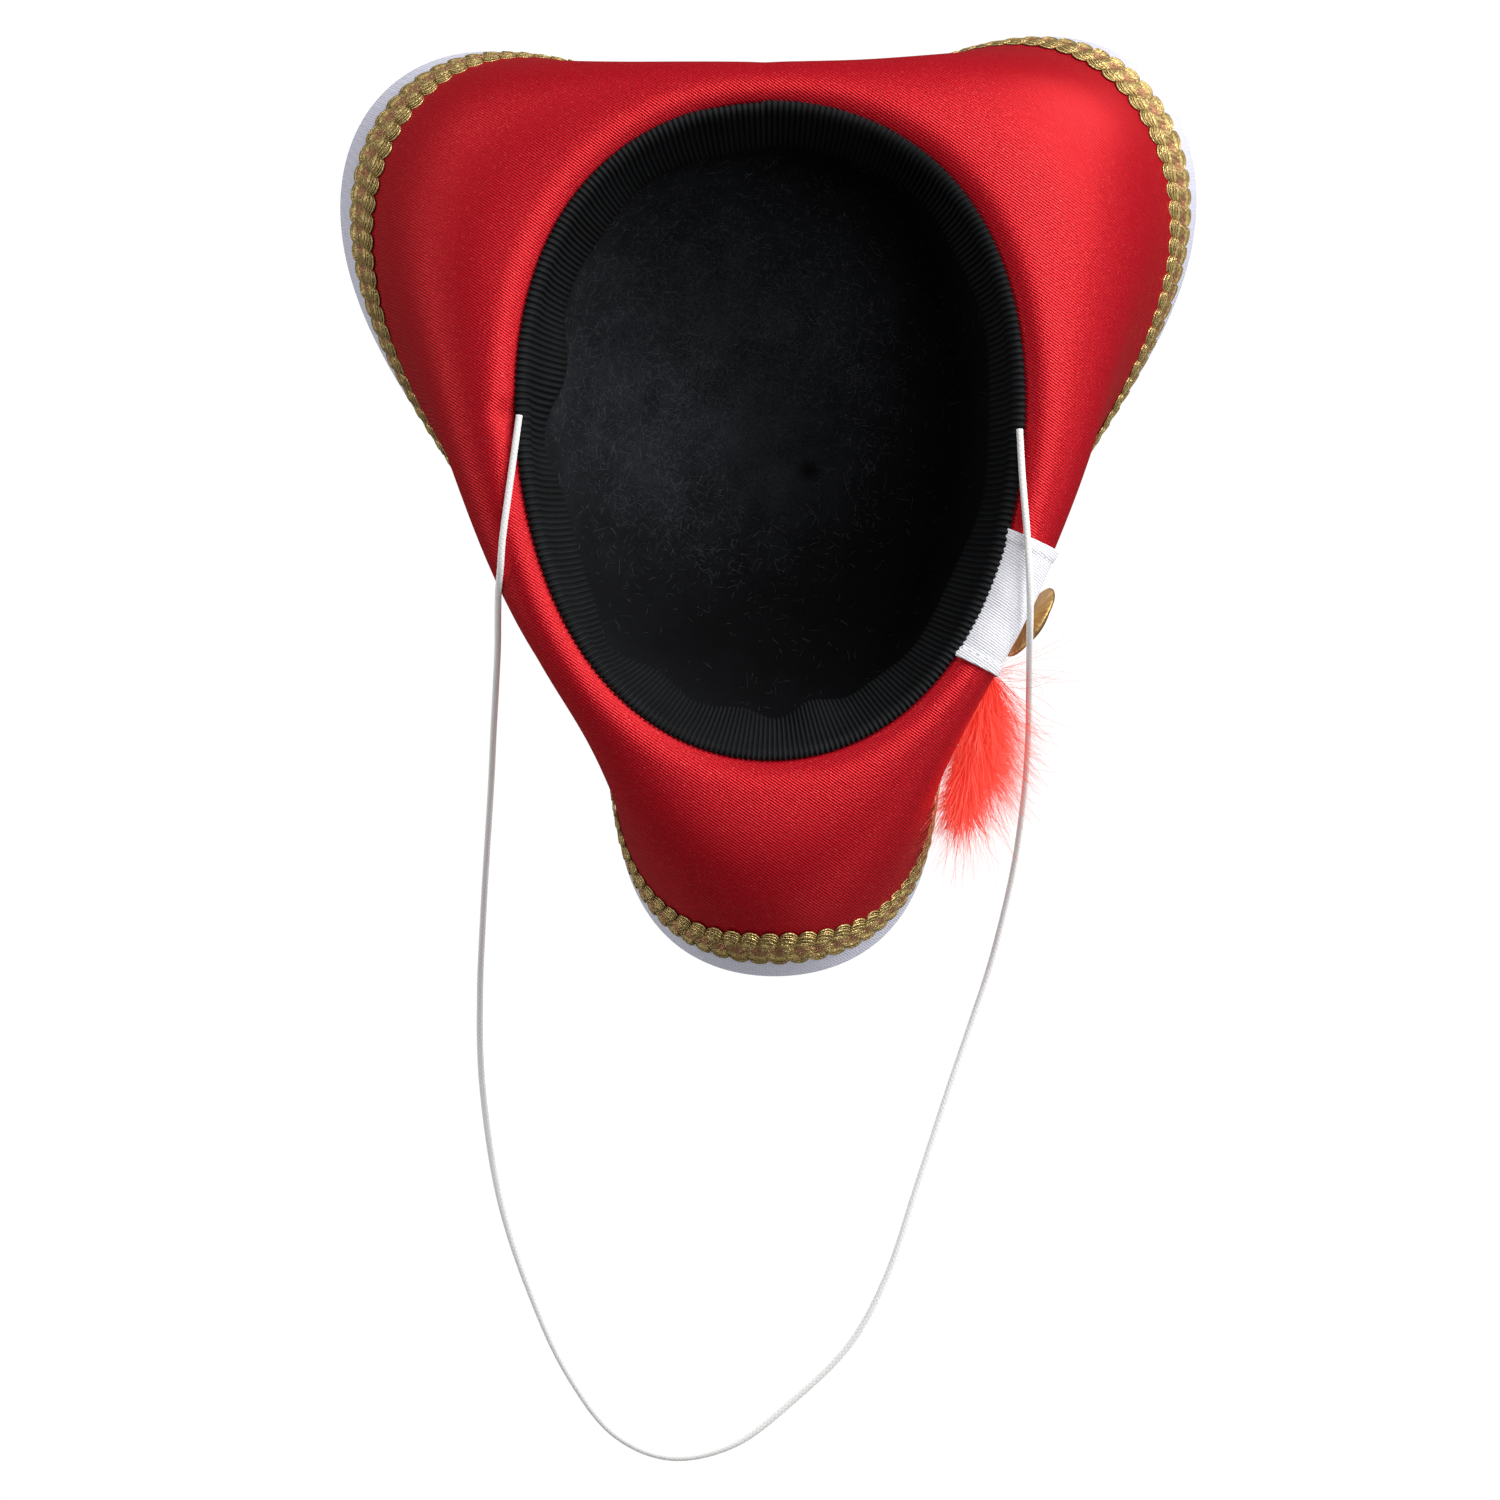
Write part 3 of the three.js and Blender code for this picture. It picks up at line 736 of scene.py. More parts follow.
@dataclass
class BrimSurface:
    """Outer face of the turned-up brim, found from a turn, a way down from the seam and a lift."""

    oval: HeadOval = field(default_factory=HeadOval)
    crown_depth: float = 0.104
    side_depth: float = 0.1185
    side_slope: float = math.radians(101)
    corners: tuple[Corner, ...] = (
        Corner(math.radians(-89), 0.0886, math.radians(56.7)),
        Corner(math.radians(33), 0.105, math.radians(56.5)),
        Corner(math.radians(149), 0.112, math.radians(59.5)),
    )
    corner_spread: float = math.radians(80)
    corner_sharpness: float = 2.4
    seam_rise: float = math.radians(36.7)
    rise_run: float = 0.013
    side_bend: float = 0.0264
    corner_bend: float = 0.084
    border: float = 0.0095
    braid_width: float = 0.014
    tuck: float = 0.004
    columns: int = 1440
    step: float = 0.0005
    reach: float = 0.1265

    def __post_init__(self) -> None:
        """Walks down the brim once at every column, so that any point is then quick to find."""
        turn = np.arange(self.columns + 1) / self.columns
        middle = (np.arange(round(self.reach / self.step)) + 0.5) * self.step
        slope = self.slope_at(turn[:, None], middle[None, :])
        start = np.zeros((self.columns + 1, 1))
        self.out_table = np.concatenate([start, np.cumsum(np.cos(slope), axis=1)], axis=1)
        self.up_table = np.concatenate([start, -np.cumsum(np.sin(slope), axis=1)], axis=1)

    def shape(self, turn: Floats) -> tuple[Floats, Floats, Floats]:
        """Finds how the brim hangs at shares of a turn.

        Args:
            turn: Shares of a turn.

        Returns:
            Depth, slope at the edge and length of the bend.
        """
        _, out = self.oval.at(turn)
        direction = np.arctan2(out[..., 1], out[..., 0])
        depth = np.full(np.shape(direction), self.side_depth)
        slope = np.full(np.shape(direction), self.side_slope)
        most = np.zeros(np.shape(direction))
        for corner in self.corners:
            turned = direction - corner.heading
            away = np.abs(np.arctan2(np.sin(turned), np.cos(turned)))
            wave = np.cos(np.clip(away / self.corner_spread, 0, 1) * math.pi / 2)
            share = (wave * wave) ** self.corner_sharpness
            depth = depth + (corner.depth - self.side_depth) * share
            slope = slope + (corner.slope - self.side_slope) * share
            most = np.maximum(most, share)
        return depth, slope, self.side_bend + (self.corner_bend - self.side_bend) * most

    def slope_at(self, turn: Floats, down: Floats) -> Floats:
        """Slope of the outer face below the level, in radians."""
        _, slope, bend = self.shape(turn)
        return slope * ease(down / bend) - self.seam_rise * (1 - ease(down / self.rise_run))

    def depth(self, turn: Floats) -> Floats:
        """Distance from the seam to the edge."""
        return self.shape(turn)[0]

    def braid_start(self, turn: Floats) -> Floats:
        """Distance from the seam to the upper edge of the braid."""
        return self.depth(turn) - self.border - self.braid_width

    def place(self, turn: Floats, down: Floats, lift: Floats | float) -> Floats:
        """Finds points on the brim or off it.

        Args:
            turn: Shares of a turn.
            down: Distances from the seam.
            lift: Distances off the outer face.

        Returns:
            Array of points.
        """
        turn, down, lift = np.broadcast_arrays(
            np.asarray(turn, float), np.asarray(down, float), np.asarray(lift, float))
        column = (turn % 1) * self.columns
        left = np.minimum(column.astype(int), self.columns - 1)
        row = np.clip(down / self.step, 0, self.out_table.shape[1] - 1.001)
        top = row.astype(int)
        across, below = column - left, row - top

        def read(table: Floats) -> Floats:
            """Value of a table between its columns and rows."""
            upper = table[left, top] * (1 - across) + table[left + 1, top] * across
            lower = table[left, top + 1] * (1 - across) + table[left + 1, top + 1] * across
            return (upper * (1 - below) + lower * below) * self.step

        slope = self.slope_at(turn, down)
        point, out = self.oval.at(turn)
        away = read(self.out_table) + np.sin(slope) * lift
        height = self.crown_depth + read(self.up_table) + np.cos(slope) * lift
        return np.concatenate([point + out * away[..., None], height[..., None]], axis=-1)

    def length_per_turn(self, turn: Floats, down: Floats) -> Floats:
        """Length along the brim for a whole turn at the pace of this place."""
        step = 0.001
        gap = self.place(np.asarray(turn) + step, down, 0) - self.place(
            np.asarray(turn) - step, down, 0)
        return np.linalg.norm(gap, axis=-1) / (2 * step)

    def off(self, turn: Floats, down: Floats) -> Floats:
        """Directions off the outer face."""
        return unit(self.place(turn, down, 0.001) - self.place(turn, down, 0))

    def walk(self, down: Callable[[Floats], Floats]) -> tuple[Floats, float]:
        """Turns at even distances along a line round the brim.

        Args:
            down: Gives the line's distance from the seam at shares of a turn.

        Returns:
            Turns at even distances, from 0 to 1, and the line's length.
        """
        count = 2 * self.columns
        turn = np.arange(count + 1) / count
        line = self.place(turn, down(turn), 0)
        walked = np.concatenate([[0], np.cumsum(np.linalg.norm(np.diff(line, axis=0), axis=1))])
        return np.interp(np.linspace(0, walked[-1], count + 1), walked, turn), float(walked[-1])


# ---------------------------------------------------------------------------
# Camera, floor and light
# ---------------------------------------------------------------------------


@dataclass
class Studio:
    """Camera, paper floor and soft lights."""

    camera_place: tuple[float, float, float] = (0.0035, -0.1263, 1.4209)
    camera_back: tuple[float, float, float] = (0.0075, -0.019, 0.9998)
    lens: float = 100.0
    floor_half: float = 7.0
    room_fill: float = 0.15
    room_gloss: float = 0.05
    lights: tuple[tuple[str, float, float, float, float, float], ...] = (
        # name, direction and height in degrees, distance, side of the square, power
        ("key_softbox", 44, 34, 1.9, 1.4, 43.0),
        ("left_softbox", 158, 22, 2.0, 1.0, 10.0),
        ("front_softbox", 325, 22, 2.0, 0.9, 5.5),
        ("top_softbox", 10, 75, 2.2, 0.35, 5.5),
    )

    def place_camera(self) -> None:
        """Puts the camera where the hat is seen at the photograph's angle."""
        data = bpy.data.cameras.new("camera")
        data.lens = self.lens
        data.sensor_width = 36.0
        data.clip_start = 0.05
        camera = bpy.data.objects.new("camera", data)
        back = Vector(self.camera_back).normalized()
        right = Vector((0, 1, 0)).cross(back).normalized()
        turn = Matrix((right, back.cross(right), back)).transposed()
        camera.matrix_world = Matrix.Translation(self.camera_place) @ turn.to_4x4()
        bpy.context.scene.collection.objects.link(camera)
        bpy.context.scene.camera = camera

    def lay_floor(self) -> None:
        """Lays the paper under the hat."""
        mesh = bmesh.new()
        bmesh.ops.create_grid(mesh, x_segments=2, y_segments=2, size=self.floor_half)
        data = bpy.data.meshes.new("floor")
        mesh.to_mesh(data)
        mesh.free()
        data.materials.append(PaperFloor("matt_background_paper").make())
        floor = bpy.data.objects.new("floor", data)
        bpy.context.scene.collection.objects.link(floor)

    def hang_lights(self) -> None:
        """Hangs the softboxes and sets the light of the room."""
        scene = bpy.context.scene
        for name, direction, height, distance, side, power in self.lights:
            data = bpy.data.lights.new(name, "AREA")
            data.shape = "SQUARE"
            data.size = side
            data.energy = power
            light = bpy.data.objects.new(name, data)
            turn, rise = math.radians(direction), math.radians(height)
            place = Vector((math.cos(turn) * math.cos(rise), math.sin(turn) * math.cos(rise),
                            math.sin(rise))) * distance
            light.location = place
            light.rotation_euler = place.to_track_quat("Z", "Y").to_euler()
            scene.collection.objects.link(light)
        world = bpy.data.worlds.new("room")
        world.use_nodes = True
        room = world.node_tree
        # A dark room behind the softboxes: gloss shows little of it, matt cloth gets its fill.
        glossy = add(room, "LightPath").outputs["Is Glossy Ray"]
        fill = Pattern(room).sum("MULTIPLY_ADD", glossy, self.room_gloss - self.room_fill,
                                 self.room_fill)
        feed(room, room.nodes["Background"], {"Color": "#ffffff", "Strength": fill})
        scene.world = world
        scene.view_settings.view_transform = "Standard"

    def build(self) -> None:
        """Builds the studio."""
        self.place_camera()
        self.lay_floor()
        self.hang_lights()


# ---------------------------------------------------------------------------
# The hat
# ---------------------------------------------------------------------------


@dataclass
class ChinElastic:
    """Round elastic: one loop from seam to seam, over the folds and along the table."""

    diameter: float = 0.0022
    rings: int = 1500
    sides: int = 12
    route: tuple[tuple[float, float, float], ...] = (
        (-79.3, 4.5, 106.7), (-81.4, -12, 108.3), (-83, -24, 109), (-84.4, -35, 109),
        (-85.2, -44, 106.9), (-86.2, -50, 100.8), (-87.4, -57, 85.8), (-88.7, -67, 67.7),
        (-90.5, -79, 49.6), (-92.4, -93, 32.8), (-94.1, -109, 18.5), (-95.7, -125, 8.8),
        (-97.1, -141, 3.2), (-98.1, -157, 1.4), (-99.1, -182, 1.3), (-98.4, -212, 1.3),
        (-92.3, -252, 1.3), (-82, -283.5, 1.3), (-69, -311.5, 1.3), (-53, -332, 1.3),
        (-34.5, -339.7, 1.3), (-13, -335.5, 1.3), (8, -320, 1.3), (27, -301, 1.3),
        (39, -279, 1.3), (50, -246.5, 1.3), (60.5, -214.5, 1.3), (68.2, -192, 1.4),
        (74.6, -172, 4), (81.3, -142, 16), (84, -118, 33.5), (84.5, -98, 54),
        (83.6, -82, 75.4), (82.6, -70, 94.4), (82.1, -63, 103.8), (82, -57, 107.4),
        (81.6, -46, 110), (80.8, -32, 110.1), (79.5, -14, 107.7), (78.8, 0, 106.7),
    )

    def centreline(self) -> Floats:
        """Follows the route as a smooth curve.

        Returns:
            Points at even distances, in metres.
        """
        points = np.array(self.route) / 1000
        points = np.vstack([2 * points[0] - points[1], points, 2 * points[-1] - points[-2]])
        spans = []
        for first in range(len(points) - 3):
            a, b, c, d = points[first:first + 4]
            steps = np.sqrt([np.linalg.norm(b - a), np.linalg.norm(c - b),
                             np.linalg.norm(d - c)])
            k0, k1, k2, k3 = np.concatenate([[0], np.cumsum(steps)])
            at = np.linspace(k1, k2, 60)[:, None]
            ab = (a * (k1 - at) + b * (at - k0)) / (k1 - k0)
            bc = (b * (k2 - at) + c * (at - k1)) / (k2 - k1)
            cd = (c * (k3 - at) + d * (at - k2)) / (k3 - k2)
            left = (ab * (k2 - at) + bc * (at - k0)) / (k2 - k0)
            right = (bc * (k3 - at) + cd * (at - k1)) / (k3 - k1)
            spans.append((left * (k2 - at) + right * (at - k1)) / (k2 - k1))
        return even_points(np.vstack(spans), self.rings + 1)

    def build(self) -> None:
        """Builds the elastic and logs its length."""
        line = self.centreline()
        length = float(np.linalg.norm(np.diff(line, axis=0), axis=1).sum())
        mesh = bmesh.new()
        tube(mesh, line, np.full(len(line), self.diameter / 2), self.sides)
        piece = make_piece("chin_elastic_cord", mesh, Slot.ELASTIC,
                           CoveredElastic("braided_polyester_elastic"), "chin_elastic")
        LOG.info("chin_elastic_cord: %.1f mm long", length * 1000)


@dataclass
class Crown:
    """Felt dome with its outside covered in satin."""

    brim: BrimSurface
    felt: float = 0.0019
    cloth: float = 0.0003
    way_out: float = 0.15
    columns: int = 192
    rows: int = 60
    outline: tuple[tuple[float, float], ...] = (
        # height and radius, as shares of the crown's depth and of the head oval
        (0, 0), (0, 0.22), (0, 0.36), (0.003, 0.44), (0.02, 0.51), (0.07, 0.63),
        (0.16, 0.755), (0.31, 0.865), (0.52, 0.945), (0.76, 0.985), (0.975, 0.998),
    )
    fibres: int = 6000
    fibre_length: tuple[float, float] = (0.0012, 0.0034)
    fibre_width: tuple[float, float] = (0.00004, 0.00009)
    lint_threads: int = 3
    lint_length: float = 0.011
    seed: int = 4

    def profile(self, share: Floats) -> Floats:
        """Heights and radii on the way from the middle to the rim."""
        return through([np.array(row) for row in self.outline], share)

    def skin(self, inset: float) -> bmesh.types.BMesh:
        """Builds the dome.

        Args:
            inset: Distance inside the outer face.

        Returns:
            Its mesh.
        """
        def place(turn: Floats, share: Floats) -> Floats:
            """Points on the dome."""
            spot = self.profile(share)
            point, out = self.brim.oval.at(turn)
            radius = np.clip(spot[:, 1:], 0, 1)
            flat = point * radius - out * inset * ease(radius / 0.5)
            height = np.maximum(spot[:, 0], 0) * self.brim.crown_depth
            height = height + inset * (1 - ease((spot[:, 1] - 0.5) / 0.5))
            return np.concatenate([flat, height[:, None]], axis=1)

        def cloth(turn: Floats, share: Floats) -> Floats:
            """Place on the cloth, in metres."""
            return np.stack([turn * HEAD_GIRTH, share * self.way_out], axis=1)

        mesh = bmesh.new()
        grid_cloth(mesh, self.columns, self.rows, place, cloth)
        close_seams(mesh)
        return mesh

    def fuzz(self) -> None:
        """Builds the loose fibres on the inside of the felt, crowded round the painted light, and
        a few threads of lint.
        """
        rng = np.random.default_rng(self.seed)
        count = self.fibres * 4
        turn, share = rng.uniform(0, 1, count), rng.uniform(0.02, 0.9, count) ** 0.6
        spot = self.profile(share)
        point, _ = self.brim.oval.at(turn)
        wall = self.felt + self.cloth + 0.0002
        across = spot[:, 1:] * (1 - wall / 0.08)
        foot = np.concatenate([point * across,
                               spot[:, :1] * self.brim.crown_depth + wall], axis=1)
        # Painted light: fibres crowd round the spot where the light is painted and thin out away
        # from it.
        away = np.linalg.norm(foot - PAINTED_LIGHT_SPOT, axis=1)
        chance = 0.04 + 0.96 * (1 - ease((away - 0.02) / 0.08))
        foot = foot[rng.uniform(0, 1, count) < chance][:self.fibres]
        count = len(foot)
        long = rng.uniform(*self.fibre_length, count)
        long[:self.lint_threads] = self.lint_length
        heading = unit(rng.normal(0, 1, (count, 3)) * (1, 1, 0.25))
        curl = rng.normal(0, 0.4, (count, 3)) * (1, 1, 0.2)
        way = np.linspace(0, 1, 5)[None, :, None]
        rise = np.array([0, 0, 0.0006]) * np.sin(way * math.pi)
        lines = (foot[:, None] + long[:, None, None] * (
            heading[:, None] * way + curl[:, None] * way ** 2) + rise)
        lines[..., 2] = np.maximum(lines[..., 2], foot[:, None, 2])
        mesh = bmesh.new()
        comb(mesh, lines, rng.uniform(*self.fibre_width, count))
        make_piece("crown_fibres", mesh, Slot.FELT,
                   DyedDown("felt_fibres", root="#5a5d64", tip="#85888f", glow=0.0))

    def build(self) -> None:
        """Builds the felt shell and its satin."""
        felt = make_piece("crown_felt", self.skin(self.cloth), Slot.FELT,
                          PressedFelt("pressed_wool_felt"), "crown")
        thicken(felt, self.felt)
        satin = make_piece("crown_satin", self.skin(0), Slot.WHITE_SATIN, WHITE_SATIN)
        thicken(satin, self.cloth * 0.8)
        self.fuzz()


@dataclass
class BrimCloth:
    """Red satin outside and white satin inside, rolled over the edge up to the braid."""

    brim: BrimSurface
    cover_wall: float = 0.0016
    lining_wall: float = 0.0007
    lining_back: float = -0.0031
    lining_start: float = 0.0042
    # Shares of the lining's way at which it starts round the edge and ends its roll.
    roll_start: float = 0.74
    roll_end: float = 0.88
    cover_round: float = 0.78
    lining_round: float = 0.95
    columns: int = 480
    rows: int = 72

    def ripple(self, turn: Floats, down: Floats) -> Floats:
        """Small pulls and waves of the cloth, as a lift off the smooth face.

        Args:
            turn: Shares of a turn.
            down: Distances from the seam.

        Returns:
            Lifts in metres.
        """
        slow = 0.0003 * np.sin(turn * TAU * 7 + down * 60) * ease(down / 0.03)
        pull = -0.0012 * bump_at(turn, 0.493, 0.012) * np.exp(-((down - 0.004) / 0.005) ** 2)
        return slow + pull

    def cover(self) -> None:
        """Builds the red outer face."""
        def down_at(turn: Floats, share: Floats) -> Floats:
            """Distance from the seam."""
            return share * (self.brim.depth(turn) - self.brim.border - self.brim.tuck)

        def place(turn: Floats, share: Floats) -> Floats:
            """Points on the outer face."""
            down = down_at(turn, share)
            return self.brim.place(turn, down, self.ripple(turn, down))

        def cloth(turn: Floats, share: Floats) -> Floats:
            """Place on the flat cloth, in metres."""
            return np.stack([turn * self.cover_round, down_at(turn, share)], axis=1)

        mesh = bmesh.new()
        grid_cloth(mesh, self.columns, self.rows, place, cloth, turned=True)
        close_seams(mesh)
        piece = make_piece("brim_cover_satin", mesh, Slot.RED_SATIN,
                           WovenSatin("woven_polyester_satin_red"), "brim_cover")
        thicken(piece, self.cover_wall)

    def lining(self) -> None:
        """Builds the white inner face and its roll over the edge."""
        roll = -self.lining_back / 2

        def path(turn: Floats, share: Floats) -> tuple[Floats, Floats]:
            """Distance from the seam and lift, along the way round the edge."""
            depth = self.brim.depth(turn)
            first = np.clip(share / self.roll_start, 0, 1)
            rolled = (share - self.roll_start) / (self.roll_end - self.roll_start)
            angle = np.clip(rolled, 0, 1) * math.pi
            last = np.clip((share - self.roll_end) / (1 - self.roll_end), 0, 1)
            down = self.lining_start + first * (depth - roll - self.lining_start)
            lift = np.full(np.shape(share), self.lining_back)
            down = down + np.where(angle > 0, np.sin(angle) * roll, 0)
            lift = lift + roll * (1 - np.cos(angle))
            down = down - last * (self.brim.border + self.brim.tuck - roll)
            return down, lift - last * 0.0001

        def place(turn: Floats, share: Floats) -> Floats:
            """Points on the lining's face."""
            down, lift = path(turn, share)
            wave = 0.0003 * np.sin(turn * TAU * 9 + 1.3) * ease((0.7 - share) / 0.3)
            return self.brim.place(turn, down, lift - np.abs(wave))

        def cloth(turn: Floats, share: Floats) -> Floats:
            """Place on the flat cloth, in metres."""
            down, lift = path(turn, share)
            return np.stack([turn * self.lining_round, down + lift], axis=1)

        mesh = bmesh.new()
        grid_cloth(mesh, self.columns, self.rows, place, cloth)
        close_seams(mesh)
        piece = make_piece("brim_lining_satin", mesh, Slot.WHITE_SATIN, RIBBED_SATIN,
                           "brim_lining")
        thicken(piece, self.lining_wall)

    def build(self) -> None:
        """Builds both faces of the brim."""
        self.cover()
        self.lining()


@dataclass
class EdgeBraid:
    """Gimp braid: overlapping shells of gilt thread along each edge of a twisted middle."""

    brim: BrimSurface
    half: float = 0.0105
    # The flap presses the braid narrow in front and lays it wide on the left.
    front_at: float = 0.75
    front_spread: float = 0.14
    narrow: float = 0.0018
    left_at: float = 0.39
    left_spread: float = 0.16
    wider: float = 0.0020
    scallop: float = 0.0064
    lobe: float = 0.36
    dome: float = 0.0009
    step: float = 0.0005
    thread: float = 0.0003
    middle: float = 0.36
    columns_per_lobe: int = 18
    rows: int = 36
    lift: float = 0.0002
    inwards: float = 0.0009
    left_inwards: float = 0.0070

    def width_at(self, turn: Floats) -> Floats:
        """Half of the braid's width."""
        return (self.half - self.narrow * bump_at(turn, self.front_at, self.front_spread)
                + self.wider * bump_at(turn, self.left_at, self.left_spread))

    def centre(self, turn: Floats) -> Floats:
        """Distance from the seam to the middle of the braid."""
        return (self.brim.braid_start(turn) + self.brim.braid_width / 2 - self.inwards
                - self.left_inwards * bump_at(turn, self.left_at, self.left_spread))

    def build(self) -> None:
        """Builds the braid."""
        even, length = self.brim.walk(self.centre)
        loops = round(length / self.scallop)

        def read(along: Floats, across: Floats) -> tuple[Floats, Floats, Floats, Floats]:
            """Finds a point's place in its shell.

            Args:
                along: Shares of the braid's length.
                across: Shares of its width.

            Returns:
                The side, the share of the way to the edge, the place along the shell from
                -1 to 1, and how far the shell reaches there.
            """
            side = np.where(across < 0.5, -1.0, 1.0)
            out = np.abs(across - 0.5) * 2
            phase = along * loops + np.where(across < 0.5, 0.5, 0) + 1e-6
            spot = 2 * (phase % 1) - 1
            reach = 1 - self.lobe + self.lobe * np.sqrt(1 - 0.98 * spot ** 2)
            return side, out, spot, reach

        def place(along: Floats, across: Floats) -> Floats:
            """Points on the braid."""
            side, out, spot, reach = read(along, across)
            turn = np.interp((along + 0.25 * self.scallop / length * out ** 2) % 1,
                             np.linspace(0, 1, len(even)), even)
            wide = self.width_at(turn) * reach
            shell = ease((out - self.middle) / 0.1)
            rings = np.abs(np.sin((1 - out) / (1 - self.middle) * math.pi * 4))
            twist = np.abs(np.sin((along * loops * 3 + side * out * 2) * math.pi))
            lift = (self.dome * np.sqrt(np.maximum(1 - out ** 4, 0)) * (0.35 + 0.65 * reach)
                    + self.step * spot * shell * (1 - out ** 6)
                    + self.thread * (rings * shell + twist * (1 - shell))
                    + self.thread * np.cos(along * loops * TAU) * (1 - shell))
            spots = self.brim.place(turn, self.centre(turn) + side * out * wide,
                                    self.lift + np.maximum(lift, 0) * (1 - out ** 12))
            spots[:, 2] = np.maximum(spots[:, 2], FLOOR_GAP)
            return spots

        def cloth(along: Floats, across: Floats) -> Floats:
            """Place along the threads and across them, in metres."""
            _, out, _, _ = read(along, across)
            shell = ease((out - self.middle) / 0.05)
            across_it = (1 - out) * self.half - self.middle * self.half * (1 - shell) * 0.3
            return np.stack([along * length, across_it], axis=1)

        mesh = bmesh.new()
        grid_cloth(mesh, loops * self.columns_per_lobe, self.rows, place, cloth, turned=True)
        close_seams(mesh)
        piece = make_piece("braid_shells", mesh, Slot.BRAID,
                           GiltThread("gilt_gimp_thread", edge=self.half), "edge_braid")


@dataclass
class Sweatband:
    """Grosgrain ribbon, sewn over the seam and leaning into the opening."""

    brim: BrimSurface
    width: float = 0.024
    wall: float = 0.0007
    stitch: float = 0.0019
    rib_height: float = 0.00045
    columns_per_stitch: int = 6
    rows: int = 20
    overlap: float = 0.012
    seam: float = 0.2535
    lean: tuple[float, ...] = (13, 13, 15, 16, 18, 18, 30, 22)
    folds: tuple[tuple[float, float], ...] = (
        # further lean in degrees, and place as a share of a turn
        (-9, 0.5), (6, 0.46), (-8, 0.62), (5, 0.66),
    )
    fold_width: float = 0.03

    def lean_at(self, turn: Floats) -> Floats:
        """Lean of the band from upright.

        Args:
            turn: Shares of a turn.

        Returns:
            Angles in radians.
        """
        spot = (turn % 1) * len(self.lean)
        first = spot.astype(int) % len(self.lean)
        table = np.array(self.lean)
        lean = table[first] + (table[(first + 1) % len(table)] - table[first]) * ease(spot % 1)
        for more, at in self.folds:
            lean = lean + more * bump_at(turn, at, self.fold_width)
        lean = lean + 9 * np.sin(turn * TAU * 13) * bump_at(turn, 0.77, 0.07)
        lean = lean + 1.6 * np.sin(turn * TAU * 11 + 0.7)
        return np.radians(lean)

    def build(self) -> None:
        """Builds the ribbon."""
        stitches = round(HEAD_GIRTH / self.stitch)
        columns = stitches * self.columns_per_stitch

        def place(turn: Floats, share: Floats) -> Floats:
            """Points on the ribbon, from its outer edge over the seam into the opening."""
            point, out = self.brim.oval.at(turn)
            lean = self.lean_at(turn)
            puff = np.abs(np.sin(turn * stitches * math.pi))
            lap = ease((turn - self.seam) / 0.0008) * ease(
                1 - (turn - self.seam - self.overlap / HEAD_GIRTH) / 0.02)
            reach = -0.0007 - 0.0006 * puff
            path = [np.stack(np.broadcast_arrays(inwards, down), axis=-1)
                    for inwards, down in ((reach, -0.0007), (reach + 0.0004, -0.0016),
                                          (0.0008, -0.0017), (0.0022, -0.0006),
                                          (0.0032, 0.0024))]
            for part in (0.2, 0.45, 0.7, 1.0):
                bend = 0.0012 * math.sin(part * math.pi)
                path.append(np.stack([
                    0.0030 + self.width * part * np.sin(lean) - bend,
                    0.0024 + self.width * part * np.cos(lean)], axis=1))
            spot = through(path, share)
            ridge = self.rib_height * puff ** 2
            inner = ease((share - 0.25) / 0.2)
            inset = spot[:, 0] + lap * 0.0007 + ridge * inner
            drop = spot[:, 1] - lap * 0.0004 * (1 - inner) - ridge * (1 - inner)
            flat = point - out * inset[:, None]
            return np.concatenate([flat, (self.brim.crown_depth - drop)[:, None]], axis=1)

        def cloth(turn: Floats, share: Floats) -> Floats:
            """Place on the flat ribbon, in metres."""
            return np.stack([turn * HEAD_GIRTH, share * (self.width + 0.006)], axis=1)

        mesh = bmesh.new()
        grid_cloth(mesh, columns, self.rows, place, cloth)
        close_seams(mesh)
        piece = make_piece("sweatband_ribbon", mesh, Slot.GROSGRAIN,
                           GrosgrainRibbon("polyester_grosgrain_black"), "sweatband")
        thicken(piece, self.wall)


